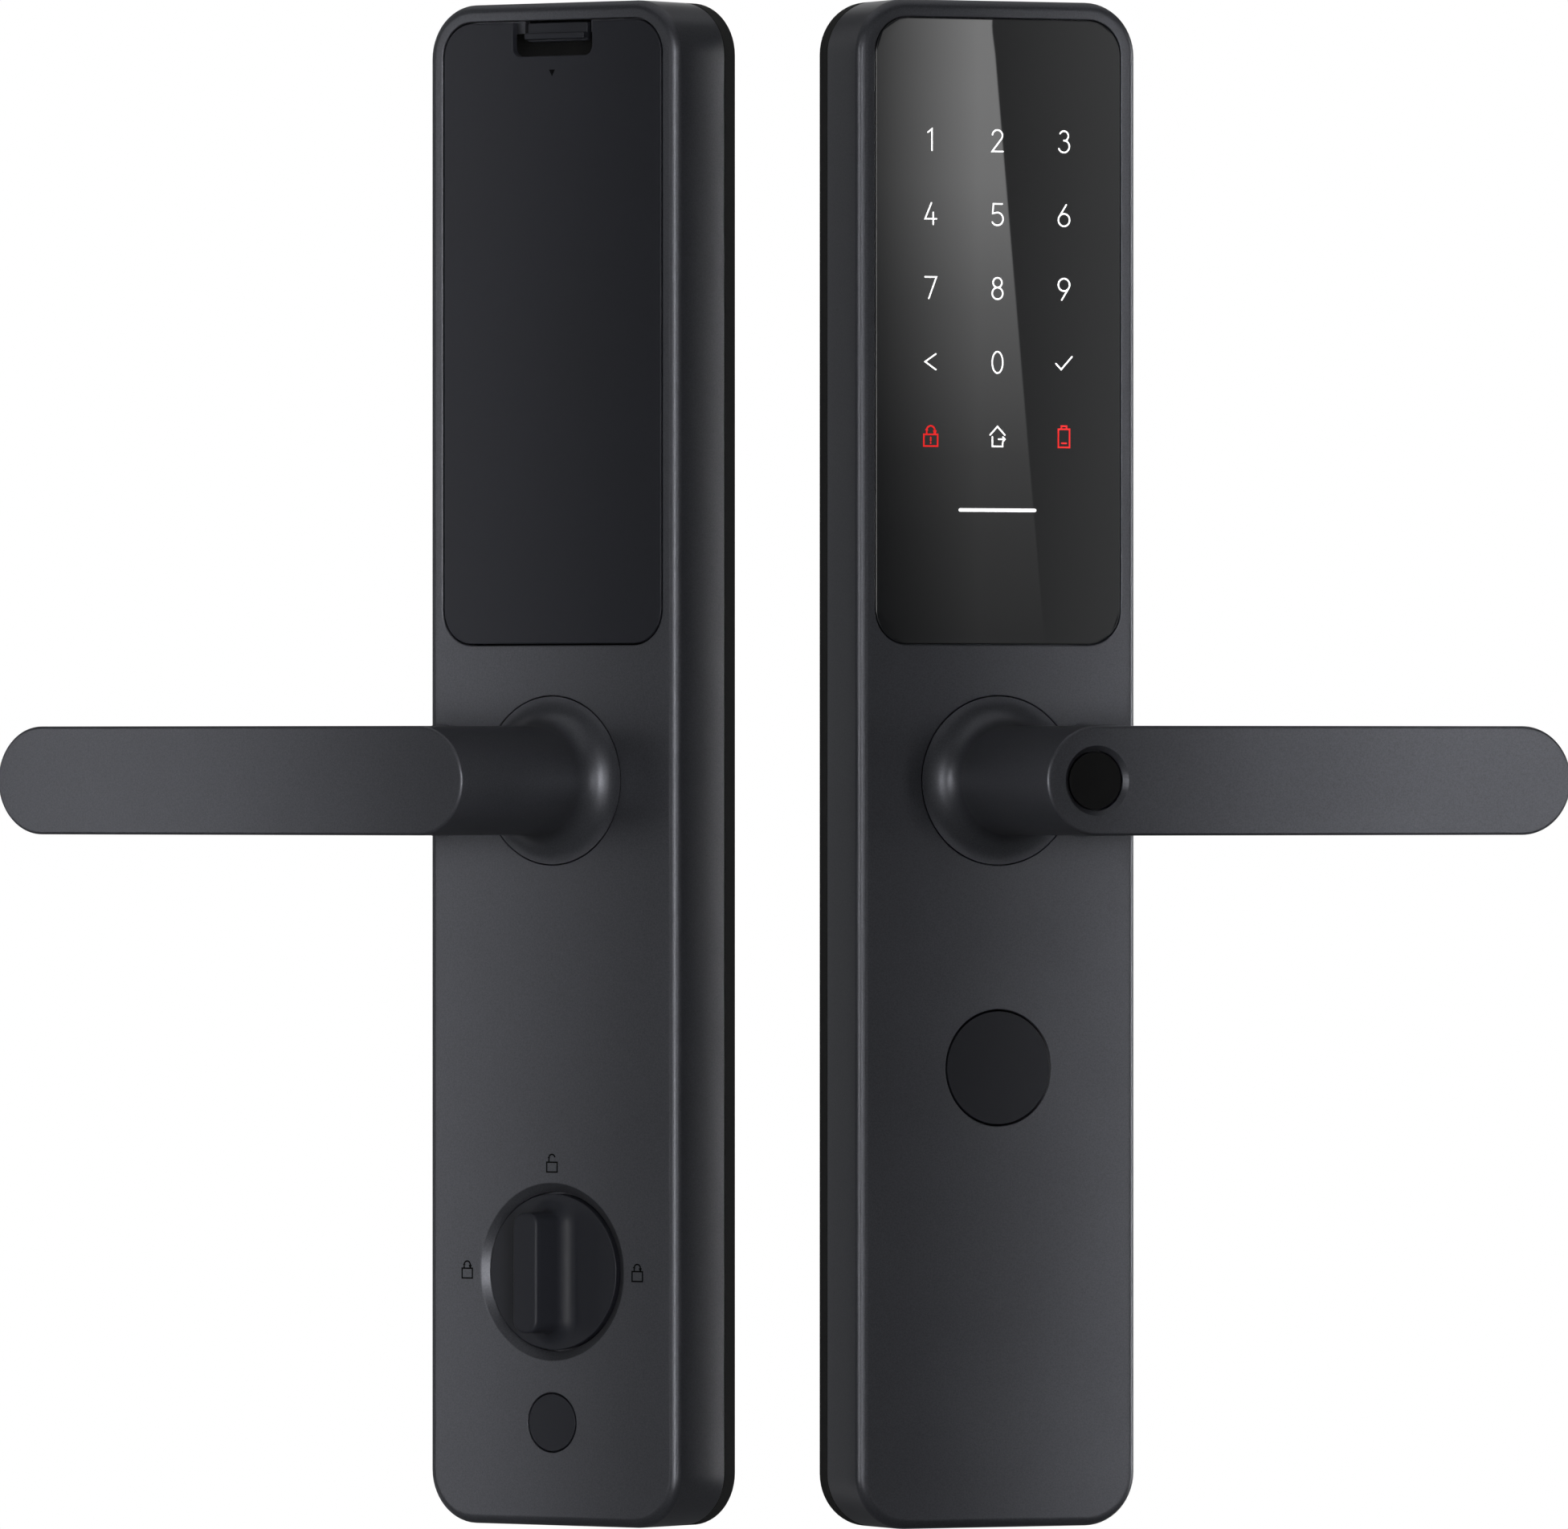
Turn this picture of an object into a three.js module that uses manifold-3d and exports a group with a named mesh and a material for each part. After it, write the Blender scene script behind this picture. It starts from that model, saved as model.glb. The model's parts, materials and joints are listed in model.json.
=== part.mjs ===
// Keypad smart lock: the outside and the inside escutcheon of one lever lock, off the door, side by side.
// Millimetres, +Z up. The row frame is the outside unit's own frame: the origin is where its spindle axis
// meets the door face, +Y goes into the door and -Y comes out of it towards the hand.
// Each unit is built in such a frame of its own, and the inside unit's group is then moved and turned.
import * as THREE from "three";
import { mergeVertices } from "three/addons/utils/BufferGeometryUtils.js";
import Module from "manifold-3d";

const wasm = await Module();
wasm.setup();

// ---------------------------------------------------------------- driving dimensions

// Escutcheon outline, the same on both units.
const unitWidth = 75;
const topAboveSpindle = 190;
const bottomBelowSpindle = 182;
const cornerRadius = 13;
const edgeRadius = 2.4;
const unitHeight = topAboveSpindle + bottomBelowSpindle;
const unitMiddle = (topAboveSpindle - bottomBelowSpindle) / 2;

// Layers from the door face outwards.
const gasketProud = 1;
const baseThickness = 4.4;
const outerShellDepth = 18.6;
const innerShellDepth = 20.3;

// Walls and gaps.
const sideWall = 2.2;
const frontWall = 2.4;
const seam = 0.3; // between pieces that are screwed or glued together
const reveal = 0.4; // even gap round a flush panel
const slip = 0.3; // running clearance round a turning or sliding piece

// Window in the upper half: the touch panel outside, the battery cover inside.
const windowMargin = 4.3;
const windowBottom = 33;
const windowWidth = unitWidth - 2 * windowMargin;
const windowTop = topAboveSpindle - windowMargin;
const windowHeight = windowTop - windowBottom;
const windowMiddle = (windowTop + windowBottom) / 2;
const windowCorner = cornerRadius - windowMargin;
const pocketDepth = 2.6;
const ledgeThickness = 2;
const ledgeWidth = 3;
const panelThickness = 2.2;

// Lever.
const leverReach = 128.6; // spindle axis to tip
const leverWidth = 26.5;
const leverThickness = 13;
const leverProjection = 55; // escutcheon face to the lever's front face
const leverEdge = 0.6;
const neckRadius = leverWidth / 2 - 0.15;
const flareRadius = 7.2;
const flangeRadius = neckRadius + flareRadius + 0.2;
const flangeThickness = 3;
const stubRadius = 11.7;
const bushWall = 1.7;
const bushFloor = 3.3; // thickness of the housing floor that carries the bush
const hubRadius = 16.8;
const hubThickness = 5.6;
const hubBore = 7.3;
const hubBossRadius = 10.4;
const hubBossLength = 3.6;
const sensorRadius = 7;
const sensorThickness = 1.7;
const sensorSink = 1.2;
const sensorChamfer = 1.45;

// Spindle and clutch.
const spindleSide = 8;
const outerSpindleReach = 55; // past the door face
const innerSpindleReach = 45;
const clutchPinRadius = 1.8;
const clutchBite = 1.4; // how far the pin reaches into the driven disc
const clutchTravel = 2.5;
const yokeGap = 1.2;
const yokeWall = 3.2;
const motorRadius = 5;
const motorLength = 16;
const clutchScrewRadius = 1.5;

// Torsion return spring behind each lever hub.
const springWire = 0.7;
const springRadius = 12.3;
const springTurns = 1.75;

// Keyhole, its cover and the key cylinder.
const keyholeDrop = 70; // below the spindle
const coverRadius = 13.75;
const coverGap = 0.5;
const coverThickness = 2;
const coverPivotRise = 4; // pivot above the cover's centre
const coverPivotDepth = 1.1; // pivot behind the escutcheon face
const coverPinRadius = 0.6;
const coverPinLength = 2 * coverRadius + 2.9;
const bezelWall = 1.5;
const bezelDepth = 13;
const bezelRadius = coverRadius + 1.25;
const cylinderRadius = 10.2;
const cylinderSink = 11.5;
const plugRadius = 6.5;
const keywayWidth = 2.2;
const keywayHeight = 8.6;
const keywayDepth = 10;
const tailReach = 42;

// Thumb turn.
const knobDrop = 120;
const dishDepth = 1.6;
const knobRadius = 19.05;
const dishRadius = knobRadius + 2.6;
const knobThickness = 2.6;
const knobSink = 0.4; // knob's face behind the escutcheon face
const gripHeight = 11.4;
const gripLength = 29.4;
const gripWidth = 7.2;
const gripFoot = 3.6; // radius of the hollow fillet at its foot
const gripFlat = 0.6; // half of the flat on its narrow ends
const gripEdge = 0.5;
const knobStubRadius = 7.7;
const detentRadius = 12;
const detentThickness = 3;
const detentNotch = 1.8;
const turnBarSide = 5;
const turnBarReach = 40;

// Function button below the thumb turn.
const buttonDrop = 156.8;
const buttonRadius = 6.95;
const buttonFlange = 8.6;
const buttonCap = 3;
const buttonStem = 2.2;
const buttonTravel = 1;
const buttonSpringWire = 0.35;

// Battery bay.
const cellRadius = 7.1;
const cellLength = 50.3;
const cellNub = 1.2;
const cellNubRadius = 2.75;
const cellColumns = 4;
const cellRows = 2;
const cellGap = 0.7;
const trayMiddle = windowMiddle + 1.65;
const trayWall = 1.3;
const contactRoom = 3.4;
const coverRest = 2; // battery cover's thickness
const coverHingeRise = 12; // hinge above the battery cover's lower edge
const coverHingeDepth = 2.6; // hinge behind the escutcheon face
const hingePinRadius = 1.1;
const hingeBite = 1.3; // how far the pins reach into the housing
const notchWidth = 24;
const notchDepth = 8.3;
const notchCorner = 2.4;
const latchWidth = 18;
const latchBar = 1.6;

// Fixings and connectors.
const postRadius = 5;
const postFlange = 7;
const postReach = 8; // past the door face
const postThreadRadius = 2.6;
const boltHoleRadius = 4.6; // in the inside unit's base, loose enough to line up through the door
const postHeights = { upper: topAboveSpindle - 16, lower: -140 };
const screwHead = 2.7;
const screwShank = 1.3;
const screwLength = 11;
const screwBoss = 3.4;
const cornerScrewInset = 10.7; // from the escutcheon's sides and ends to a corner screw
const cornerScrewX = unitWidth / 2 - cornerScrewInset;
const cornerScrewTop = topAboveSpindle - cornerScrewInset;
const cornerScrewBottom = cornerScrewInset + 3.3 - bottomBelowSpindle;
const outerScrews = [
  [-cornerScrewX, cornerScrewTop],
  [cornerScrewX, cornerScrewTop],
  [-cornerScrewX, cornerScrewBottom],
  [cornerScrewX, cornerScrewBottom],
];
const innerScrewHeight = 22;
const innerScrews = [[-cornerScrewX, innerScrewHeight], [cornerScrewX, innerScrewHeight]];
const gasketInset = 2.6;
const gasketWidth = 4;
const gasketGroove = 1.1;
const socketWidth = 12;
const socketHeight = 8;
const outerSocketHeight = 64;
const headerHeight = -62;
const headerPinCount = 4;
const headerPitch = 2.5;
const portWidth = 9.2;
const portHeight = 3.4;
const portDepth = 7;
const portWall = 0.6;

// How the two units stand to each other when they are shown off the door.
const insidePosition = [-71.9, 44.2, 0];
const insideTurn = 60.4; // degrees clockwise from above

// ---------------------------------------------------------------- materials

const paint = (color, roughness, metalness = 0) =>
  new THREE.MeshStandardMaterial({ color, roughness, metalness });
const materials = {
  coated: paint(0x3b3c41, 0.5, 0.6),
  trim: paint(0x27282b, 0.6),
  black: paint(0x1d1d1e, 0.7),
  glass: paint(0x101113, 0.08),
  sensor: paint(0x0c0c0c, 0.35),
  steel: paint(0xb4b6ba, 0.3, 1),
  brass: paint(0xb99a55, 0.35, 1),
  rubber: paint(0x161616, 0.9),
  board: paint(0x1f4a35, 0.6),
  polymer: paint(0xd8d6cf, 0.5),
  cell: paint(0x2c5fa8, 0.4),
};

// ---------------------------------------------------------------- geometry helpers

// A closed solid from a three.js geometry: shared vertices merged, collapsed triangles dropped.
function solid(geometry) {
  const g = geometry.clone();
  g.deleteAttribute("normal");
  g.deleteAttribute("uv");
  const merged = mergeVertices(g, 1e-4);
  const index = merged.index.array;
  const kept = [];
  for (let i = 0; i < index.length; i += 3) {
    const [a, b, c] = [index[i], index[i + 1], index[i + 2]];
    if (a !== b && b !== c && c !== a) kept.push(a, b, c);
  }
  return new wasm.Manifold(
    new wasm.Mesh({
      numProp: 3,
      vertProperties: merged.attributes.position.array,
      triVerts: new Uint32Array(kept),
    }),
  );
}

const join = (first, ...others) => others.reduce((sum, other) => sum.add(other), first);
const cut = (first, ...others) => others.reduce((rest, other) => rest.subtract(other), first);
const moved = (body, x, y, z) => body.translate([x, y, z]);

// A named mesh of a solid.
function piece(name, body, material) {
  const { vertProperties, triVerts } = body.getMesh();
  const g = new THREE.BufferGeometry();
  g.setAttribute("position", new THREE.BufferAttribute(vertProperties, 3));
  g.setIndex(new THREE.BufferAttribute(triVerts, 1));
  g.computeVertexNormals();
  const mesh = new THREE.Mesh(g, material);
  mesh.name = name;
  return mesh;
}

// A rounded rectangle in the X-Z plane, centred on x = 0.
function roundedRectangle(w, h, r, middle = 0, across = 0) {
  const [x, z] = [w / 2 - r, h / 2 - r];
  const shape = new THREE.Shape();
  shape.absarc(across + x, middle + z, r, 0, Math.PI / 2);
  shape.absarc(across - x, middle + z, r, Math.PI / 2, Math.PI);
  shape.absarc(across - x, middle - z, r, Math.PI, 1.5 * Math.PI);
  shape.absarc(across + x, middle - z, r, 1.5 * Math.PI, 2 * Math.PI);
  return shape;
}

// An outline in X-Z swept along Y from front to back.
function slab(outline, front, back, corners = 4) {
  const depth = back - front;
  const g = new THREE.ExtrudeGeometry(outline, { depth, bevelEnabled: false, curveSegments: corners });
  return solid(g.rotateX(Math.PI / 2).translate(0, back, 0));
}

// The same with its front edge rounded.
function slabWithRoundedFront(outline, front, back, radius, corners = 5, steps = 2) {
  const g = new THREE.ExtrudeGeometry(outline, {
    depth: back - front,
    bevelThickness: radius,
    bevelSize: radius,
    bevelOffset: -radius,
    bevelSegments: steps,
    curveSegments: corners,
  });
  const whole = solid(g.rotateX(Math.PI / 2).translate(0, back + radius, 0));
  return cut(whole, box([-500, 500], [back, back + 4 * radius], [-500, 500]));
}

// A solid through outlines that have the same number of points, from the front one to the back one.
function lofted(sections, corners = 3) {
  const rings = sections.map(([outline]) => outline.getPoints(corners));
  const count = rings[0].length;
  const positions = rings.flatMap((points, i) => points.flatMap((p) => [p.x, sections[i][1], p.y]));
  const last = (rings.length - 1) * count;
  const index = [];
  for (let i = 0; i < rings.length - 1; i++) {
    for (let j = 0; j < count; j++) {
      const [a, b] = [i * count + j, i * count + ((j + 1) % count)];
      index.push(a, a + count, b, b, a + count, b + count);
    }
  }
  for (const [a, b, c] of THREE.ShapeUtils.triangulateShape(rings[0], [])) {
    index.push(a, b, c, last + a, last + c, last + b);
  }
  const g = new THREE.BufferGeometry();
  g.setAttribute("position", new THREE.Float32BufferAttribute(positions, 3));
  g.setIndex(index);
  return solid(g);
}

// A box between two values on each axis.
function box([x0, x1], [y0, y1], [z0, z1]) {
  const g = new THREE.BoxGeometry(x1 - x0, y1 - y0, z1 - z0);
  return solid(g.translate((x0 + x1) / 2, (y0 + y1) / 2, (z0 + z1) / 2));
}

// A profile of [radius, y] points turned about the Y axis, whichever way round it is listed.
function turned(profile, segments = 32) {
  const closed = profile[0][0] === 0 && profile.at(-1)[0] === 0 ? profile : [...profile, profile[0]];
  const area = closed.reduce((sum, [r, y], i) => {
    const [nextR, nextY] = closed[(i + 1) % closed.length];
    return sum + r * nextY - nextR * y;
  }, 0);
  const ordered = area > 0 ? closed : [...closed].reverse();
  return solid(new THREE.LatheGeometry(ordered.map(([r, y]) => new THREE.Vector2(r, y)), segments));
}

const disc = (r, front, back, segments = 32) =>
  turned([[0, front], [r, front], [r, back], [0, back]], segments);
const ring = (outer, inner, front, back, segments = 32) =>
  turned([[inner, front], [outer, front], [outer, back], [inner, back]], segments);

// Cylinders along X and Z.
const rodAlongX = (r, x0, x1, segments = 10) => disc(r, x0, x1, segments).rotate([0, 0, -90]);
const rodAlongZ = (r, z0, z1, segments = 16) => disc(r, z0, z1, segments).rotate([90, 0, 0]);

// A round wire along a curve.
function wire(curve, radius, steps, sides = 5) {
  const section = new THREE.Shape();
  for (let i = 0; i < sides; i++) {
    const a = (2 * Math.PI * i) / sides;
    section[i ? "lineTo" : "moveTo"](radius * Math.cos(a), radius * Math.sin(a));
  }
  return solid(new THREE.ExtrudeGeometry(section, { steps, extrudePath: curve, bevelEnabled: false }));
}

// ---------------------------------------------------------------- pieces that both units have

const baseFront = -(gasketProud + baseThickness);
const shellBack = baseFront - seam;
const outline = (inset) =>
  roundedRectangle(unitWidth - 2 * inset, unitHeight - 2 * inset, cornerRadius - inset, unitMiddle);
const windowOutline = (inset) =>
  roundedRectangle(windowWidth - 2 * inset, windowHeight - 2 * inset, windowCorner - inset, windowMiddle);

const recessRadius = flangeRadius + reveal;
const recessDepth = flangeThickness + seam;
const bossRadius = recessRadius + 2;
const bossDepth = recessDepth + bushFloor;
const bushRadius = stubRadius + slip + bushWall;

// The cast shell: rounded front edge, window pocket with a ledge, lever recess with a bush floor.
function shell(front) {
  const ledgeBack = front + pocketDepth + ledgeThickness;
  const belowWindow = windowBottom - ledgeWidth;
  return cut(
    slabWithRoundedFront(outline(0), front, shellBack, edgeRadius),
    slab(outline(sideWall), ledgeBack, shellBack + 1),
    box(
      [-unitWidth / 2 + sideWall, unitWidth / 2 - sideWall],
      [front + frontWall, ledgeBack + 1],
      [-bottomBelowSpindle + cornerRadius, belowWindow],
    ),
    slab(windowOutline(0), front - 1, front + pocketDepth),
    slab(windowOutline(ledgeWidth), front, ledgeBack + 1),
  );
}

const leverBoss = (front) => disc(bossRadius, front + 1, front + bossDepth);
const leverBossCuts = (front) => [
  disc(recessRadius, front - 1, front + recessDepth),
  disc(bushRadius + seam, front, front + bossDepth + 1, 24),
];

// A round boss for a screw. In the window it grows from the ledge, elsewhere from the front wall.
const screwPost = (front, [x, z]) =>
  moved(disc(screwBoss, front + (z > windowBottom ? pocketDepth : 1), shellBack, 12), x, 0, z);
const screwHole = (front, [x, z]) =>
  moved(disc(screwShank + seam, baseFront - screwLength, shellBack + 1, 8), x, 0, z);

// The base that closes a unit's back, with the groove for its gasket.
function base(screws, holes) {
  const groove = cut(
    slab(outline(gasketInset), -gasketProud - gasketGroove, 0),
    slab(outline(gasketInset + gasketWidth), -gasketProud - gasketGroove - 1, 1),
  );
  const screwSeats = screws.flatMap(([x, z]) => [
    moved(disc(screwShank + seam, baseFront - 1, 0, 8), x, 0, z),
    moved(disc(screwHead + seam, -gasketProud - 2, 0, 12), x, 0, z),
  ]);
  return cut(slab(outline(0), baseFront, -gasketProud), groove, ...screwSeats, ...holes);
}

function gasket() {
  const gap = 0.25;
  return cut(
    slab(outline(gasketInset + gap), -gasketProud - gasketGroove + seam, 0),
    slab(outline(gasketInset + gasketWidth - gap), -gasketProud - gasketGroove, 1),
  );
}

// A pan-head screw with a cross slot, head at the back.
function screw([x, z]) {
  const headFront = -gasketProud - 2 + seam;
  const slot = (w, h) => box([-w, w], [-gasketProud - 1, 1], [-h, h]);
  const body = cut(
    turned(
      [
        [0, baseFront - screwLength + 1],
        [screwShank, baseFront - screwLength + 1],
        [screwShank, headFront],
        [screwHead, headFront],
        [screwHead, headFront + 1],
        [screwHead - 0.6, headFront + 1.6],
        [0, headFront + 1.6],
      ],
      8,
    ),
    slot(1.6, 0.35),
    slot(0.35, 1.6),
  );
  return moved(body, x, 0, z);
}

// Lever: flat arm with round ends, round neck, and a flared flange flush with the face. side is +1 or -1.
function lever(front, side) {
  const face = front - leverProjection;
  const r = leverWidth / 2;
  const arm = new THREE.Shape();
  const tip = side * (leverReach - r);
  const [right, left] = [Math.max(0, tip), Math.min(0, tip)];
  arm.absarc(right, 0, r, -Math.PI / 2, Math.PI / 2);
  arm.absarc(left, 0, r, Math.PI / 2, 1.5 * Math.PI);
  const g = new THREE.ExtrudeGeometry(arm, {
    depth: leverThickness - 2 * leverEdge,
    bevelThickness: leverEdge,
    bevelSize: leverEdge,
    bevelOffset: -leverEdge,
    bevelSegments: 1,
    curveSegments: 12,
  });
  const bar = solid(g.rotateX(Math.PI / 2).translate(0, face + leverThickness - leverEdge, 0));
  const flare = [];
  const flareSteps = 4;
  for (let i = 0; i <= flareSteps; i++) {
    const t = ((Math.PI / 2) * i) / flareSteps;
    flare.push([
      neckRadius + flareRadius * (1 - Math.cos(t)),
      front - flareRadius * (1 - Math.sin(t)),
    ]);
  }
  const neck = turned([
    [0, face + leverThickness / 2],
    [neckRadius, face + leverThickness / 2],
    ...flare,
    [flangeRadius, front],
    [flangeRadius, front + flangeThickness],
    [stubRadius, front + flangeThickness],
    [stubRadius, front + bossDepth + 0.8],
    [0, front + bossDepth + 0.8],
  ]);
  return join(bar, neck);
}

// Plain bearing between the housing floor and the lever's stub.
const bush = (front) =>
  ring(bushRadius, stubRadius + slip, front + recessDepth + seam, front + bossDepth - seam, 24);

const hubFront = (front) => front + bossDepth + 0.8 + seam;

// Coil round the hub's boss with two straight legs.
function returnSpring(front) {
  const from = hubFront(front) + hubThickness + springWire + 0.4;
  const to = baseFront - seam - springWire - 0.1;
  const points = [];
  const perTurn = 10;
  const count = Math.round(springTurns * perTurn);
  for (let i = 0; i <= count; i++) {
    const a = (2 * Math.PI * i) / perTurn;
    const y = from + ((to - from) * i) / count;
    points.push(new THREE.Vector3(springRadius * Math.cos(a), y, springRadius * Math.sin(a)));
  }
  const leg = (p, sense) => {
    const along = new THREE.Vector3(-p.z, 0, p.x).normalize().multiplyScalar(5 * sense);
    return p.clone().add(along);
  };
  const curve = new THREE.CatmullRomCurve3([leg(points[0], -1), ...points, leg(points.at(-1), 1)]);
  return wire(curve, springWire, 2 * count);
}

// ---------------------------------------------------------------- outside unit

function outsideUnit() {
  const front = baseFront - outerShellDepth;
  const unit = new THREE.Group();
  const add = (name, body, material) => unit.add(piece(name, body, material));
  const windowBack = front + pocketDepth + ledgeThickness;

  // Cast housing with its keyhole, screw posts and the slot of the power port.
  const coverPin = (radius, length) => rodAlongX(radius, -length / 2, length / 2, 8);
  const portY = (front + baseFront) / 2;
  const portSlot = (w, h, from, to) =>
    moved(slab(roundedRectangle(w, h, h / 2 - 0.01), 0, to - from, 5).rotate([90, 0, 0]), 0, portY, from);
  const bottom = -bottomBelowSpindle;
  const coverPinHole = coverPin(coverPinRadius + 0.15, coverPinLength + 0.8);
  const housing = cut(
    join(shell(front), leverBoss(front), ...outerScrews.map((at) => screwPost(front, at))),
    ...leverBossCuts(front),
    moved(disc(coverRadius + coverGap, front - 1, front + frontWall + 1), 0, 0, -keyholeDrop),
    moved(coverPinHole, 0, front + coverPivotDepth, coverPivotRise - keyholeDrop),
    ...outerScrews.map((at) => screwHole(front, at)),
    portSlot(portWidth + 2 * seam, portHeight + 2 * seam, bottom - 1, bottom + sideWall + 1),
  );
  add("outer_housing", housing, materials.coated);

  add("touch_panel", slab(windowOutline(reveal), front, front + panelThickness), materials.glass);

  // Circuit board behind the panel, clear of the upper screw posts.
  const boardFront = windowBack + seam;
  const boardTop = outerScrews[0][1] - screwBoss - 2;
  add(
    "keypad_board",
    box([-windowWidth / 2, windowWidth / 2], [boardFront, boardFront + 1.6], [windowBottom + 2, boardTop]),
    materials.board,
  );
  const boardBack = boardFront + 1.6;
  add(
    "outer_harness_socket",
    cut(
      box(
        [-socketWidth / 2, socketWidth / 2],
        [boardBack + seam, -gasketProud - 0.5],
        [outerSocketHeight - socketHeight / 2, outerSocketHeight + socketHeight / 2],
      ),
      box(
        [-socketWidth / 2 + 1, socketWidth / 2 - 1],
        [-gasketProud - 6, 0],
        [outerSocketHeight - socketHeight / 2 + 1, outerSocketHeight + socketHeight / 2 - 1],
      ),
    ),
    materials.polymer,
  );

  // Lever with its fingerprint reader.
  const face = front - leverProjection;
  const sensorPocket = turned([
    [0, face - 1],
    [sensorRadius + sensorChamfer + 0.8, face - 1],
    [sensorRadius + sensorChamfer, face],
    [sensorRadius + slip, face + sensorSink],
    [sensorRadius + slip, face + sensorSink + sensorThickness + seam],
    [0, face + sensorSink + sensorThickness + seam],
  ]);
  add("outer_lever", cut(lever(front, 1), sensorPocket), materials.coated);
  add(
    "fingerprint_sensor",
    disc(sensorRadius, face + sensorSink, face + sensorSink + sensorThickness),
    materials.sensor,
  );
  add("outer_lever_bush", bush(front), materials.polymer);

  // Lever hub, the pin of its clutch, and the square spindle that the pin drives.
  const hub = hubFront(front);
  const hubBack = hub + hubThickness;
  const pinY = hub + hubThickness / 2;
  const pinChannel = (from, to) => moved(rodAlongZ(clutchPinRadius + slip, from, to, 10), 0, pinY, 0);
  add(
    "outer_hub",
    cut(
      join(
        ring(hubRadius, hubBore, hub, hubBack),
        ring(hubBossRadius, hubBore, hubBack - 1, hubBack + hubBossLength),
      ),
      pinChannel(hubBore - 1, hubRadius + 1),
    ),
    materials.steel,
  );
  const discRadius = hubBore - slip;
  const bar = box(
    [-spindleSide / 2, spindleSide / 2],
    [hub + 1, outerSpindleReach],
    [-spindleSide / 2, spindleSide / 2],
  );
  add(
    "outer_spindle",
    cut(
      join(disc(discRadius, hub + 0.1, hubBack - 0.1, 24), bar),
      pinChannel(discRadius - clutchBite - seam, hubRadius),
    ),
    materials.steel,
  );
  const pinFoot = discRadius - clutchBite;
  add(
    "clutch_pin",
    moved(rodAlongZ(clutchPinRadius, pinFoot, hubRadius - 0.2, 12), 0, pinY, 0),
    materials.steel,
  );

  // Clutch yoke: a curved shoe over the hub that the motor's screw lifts and lowers.
  const shoeInner = hubRadius + yokeGap;
  const shoeOuter = shoeInner + yokeWall;
  const nutTop = shoeOuter + 6;
  const sideways = shoeOuter * Math.sin(Math.PI / 3);
  const shoe = cut(
    ring(shoeOuter, shoeInner, hub + 0.2, hubBack - 0.2, 36),
    box([-50, 50], [hub - 5, hubBack + 5], [-50, shoeOuter * 0.45]),
    box([-50, -sideways], [hub - 5, hubBack + 5], [-50, 50]),
    box([sideways, 50], [hub - 5, hubBack + 5], [-50, 50]),
  );
  const nut = box([-5, 5], [hub + 0.2, hubBack - 0.2], [shoeOuter - 1, nutTop]);
  const screwFoot = shoeOuter + 0.8;
  add(
    "clutch_yoke",
    cut(
      join(shoe, nut),
      moved(rodAlongZ(clutchScrewRadius + slip, screwFoot - 0.6, nutTop + 1, 12), 0, pinY, 0),
    ),
    materials.polymer,
  );
  const motorFoot = nutTop + clutchTravel + 1.2;
  add(
    "clutch_screw",
    moved(rodAlongZ(clutchScrewRadius, screwFoot + clutchTravel + seam, motorFoot - seam, 12), 0, pinY, 0),
    materials.steel,
  );
  const motorY = Math.max(pinY, boardBack + seam + motorRadius);
  add(
    "clutch_motor",
    moved(rodAlongZ(motorRadius, motorFoot, motorFoot + motorLength), 0, motorY, 0),
    materials.steel,
  );
  add("outer_return_spring", returnSpring(front), materials.steel);

  // Keyhole: bezel cup, tilting cover on two stub pins, and the key cylinder behind.
  const keyhole = new THREE.Group();
  keyhole.position.z = -keyholeDrop;
  unit.add(keyhole);
  const addKey = (name, body, material) => keyhole.add(piece(name, body, material));
  const flangeFront = front + frontWall + seam;
  const floorFront = front + bezelDepth - bezelWall;
  addKey(
    "keyhole_bezel",
    turned([
      [bezelRadius, flangeFront],
      [bezelRadius + bezelWall + 2, flangeFront],
      [bezelRadius + bezelWall + 2, flangeFront + bezelWall],
      [bezelRadius + bezelWall, flangeFront + bezelWall],
      [bezelRadius + bezelWall, front + bezelDepth],
      [cylinderRadius + seam, front + bezelDepth],
      [cylinderRadius + seam, floorFront],
      [bezelRadius, floorFront],
    ]),
    materials.black,
  );
  addKey(
    "keyhole_cover",
    join(
      disc(coverRadius, front, front + coverThickness, 40),
      moved(coverPin(coverPinRadius, coverPinLength), 0, front + coverPivotDepth, coverPivotRise),
    ),
    materials.trim,
  );
  const cylinderFront = front + cylinderSink;
  const cylinderBack = -gasketProud - 0.4;
  addKey(
    "key_cylinder",
    ring(cylinderRadius, plugRadius + slip, cylinderFront, cylinderBack),
    materials.steel,
  );
  addKey(
    "key_plug",
    cut(
      disc(plugRadius, cylinderFront, cylinderBack, 28),
      box(
        [-keywayWidth / 2, keywayWidth / 2],
        [cylinderFront - 1, cylinderFront + keywayDepth],
        [-keywayHeight / 2, keywayHeight / 2],
      ),
    ),
    materials.brass,
  );
  addKey(
    "key_tail_bar",
    box([-1.2, 1.2], [cylinderBack + seam, tailReach], [-plugRadius + 2.5, plugRadius - 2.5]),
    materials.steel,
  );

  // Emergency power port in the lower edge.
  const portTop = bottom + portDepth;
  const portTongue = box([-2.6, 2.6], [portY - 0.35, portY + 0.35], [bottom + 1.2, portTop - 0.5]);
  add(
    "power_port",
    join(
      cut(
        portSlot(portWidth, portHeight, bottom + 0.2, portTop),
        portSlot(portWidth - 2 * portWall, portHeight - 2 * portWall, bottom - 1, portTop - portWall),
      ),
      portTongue,
    ),
    materials.steel,
  );

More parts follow.
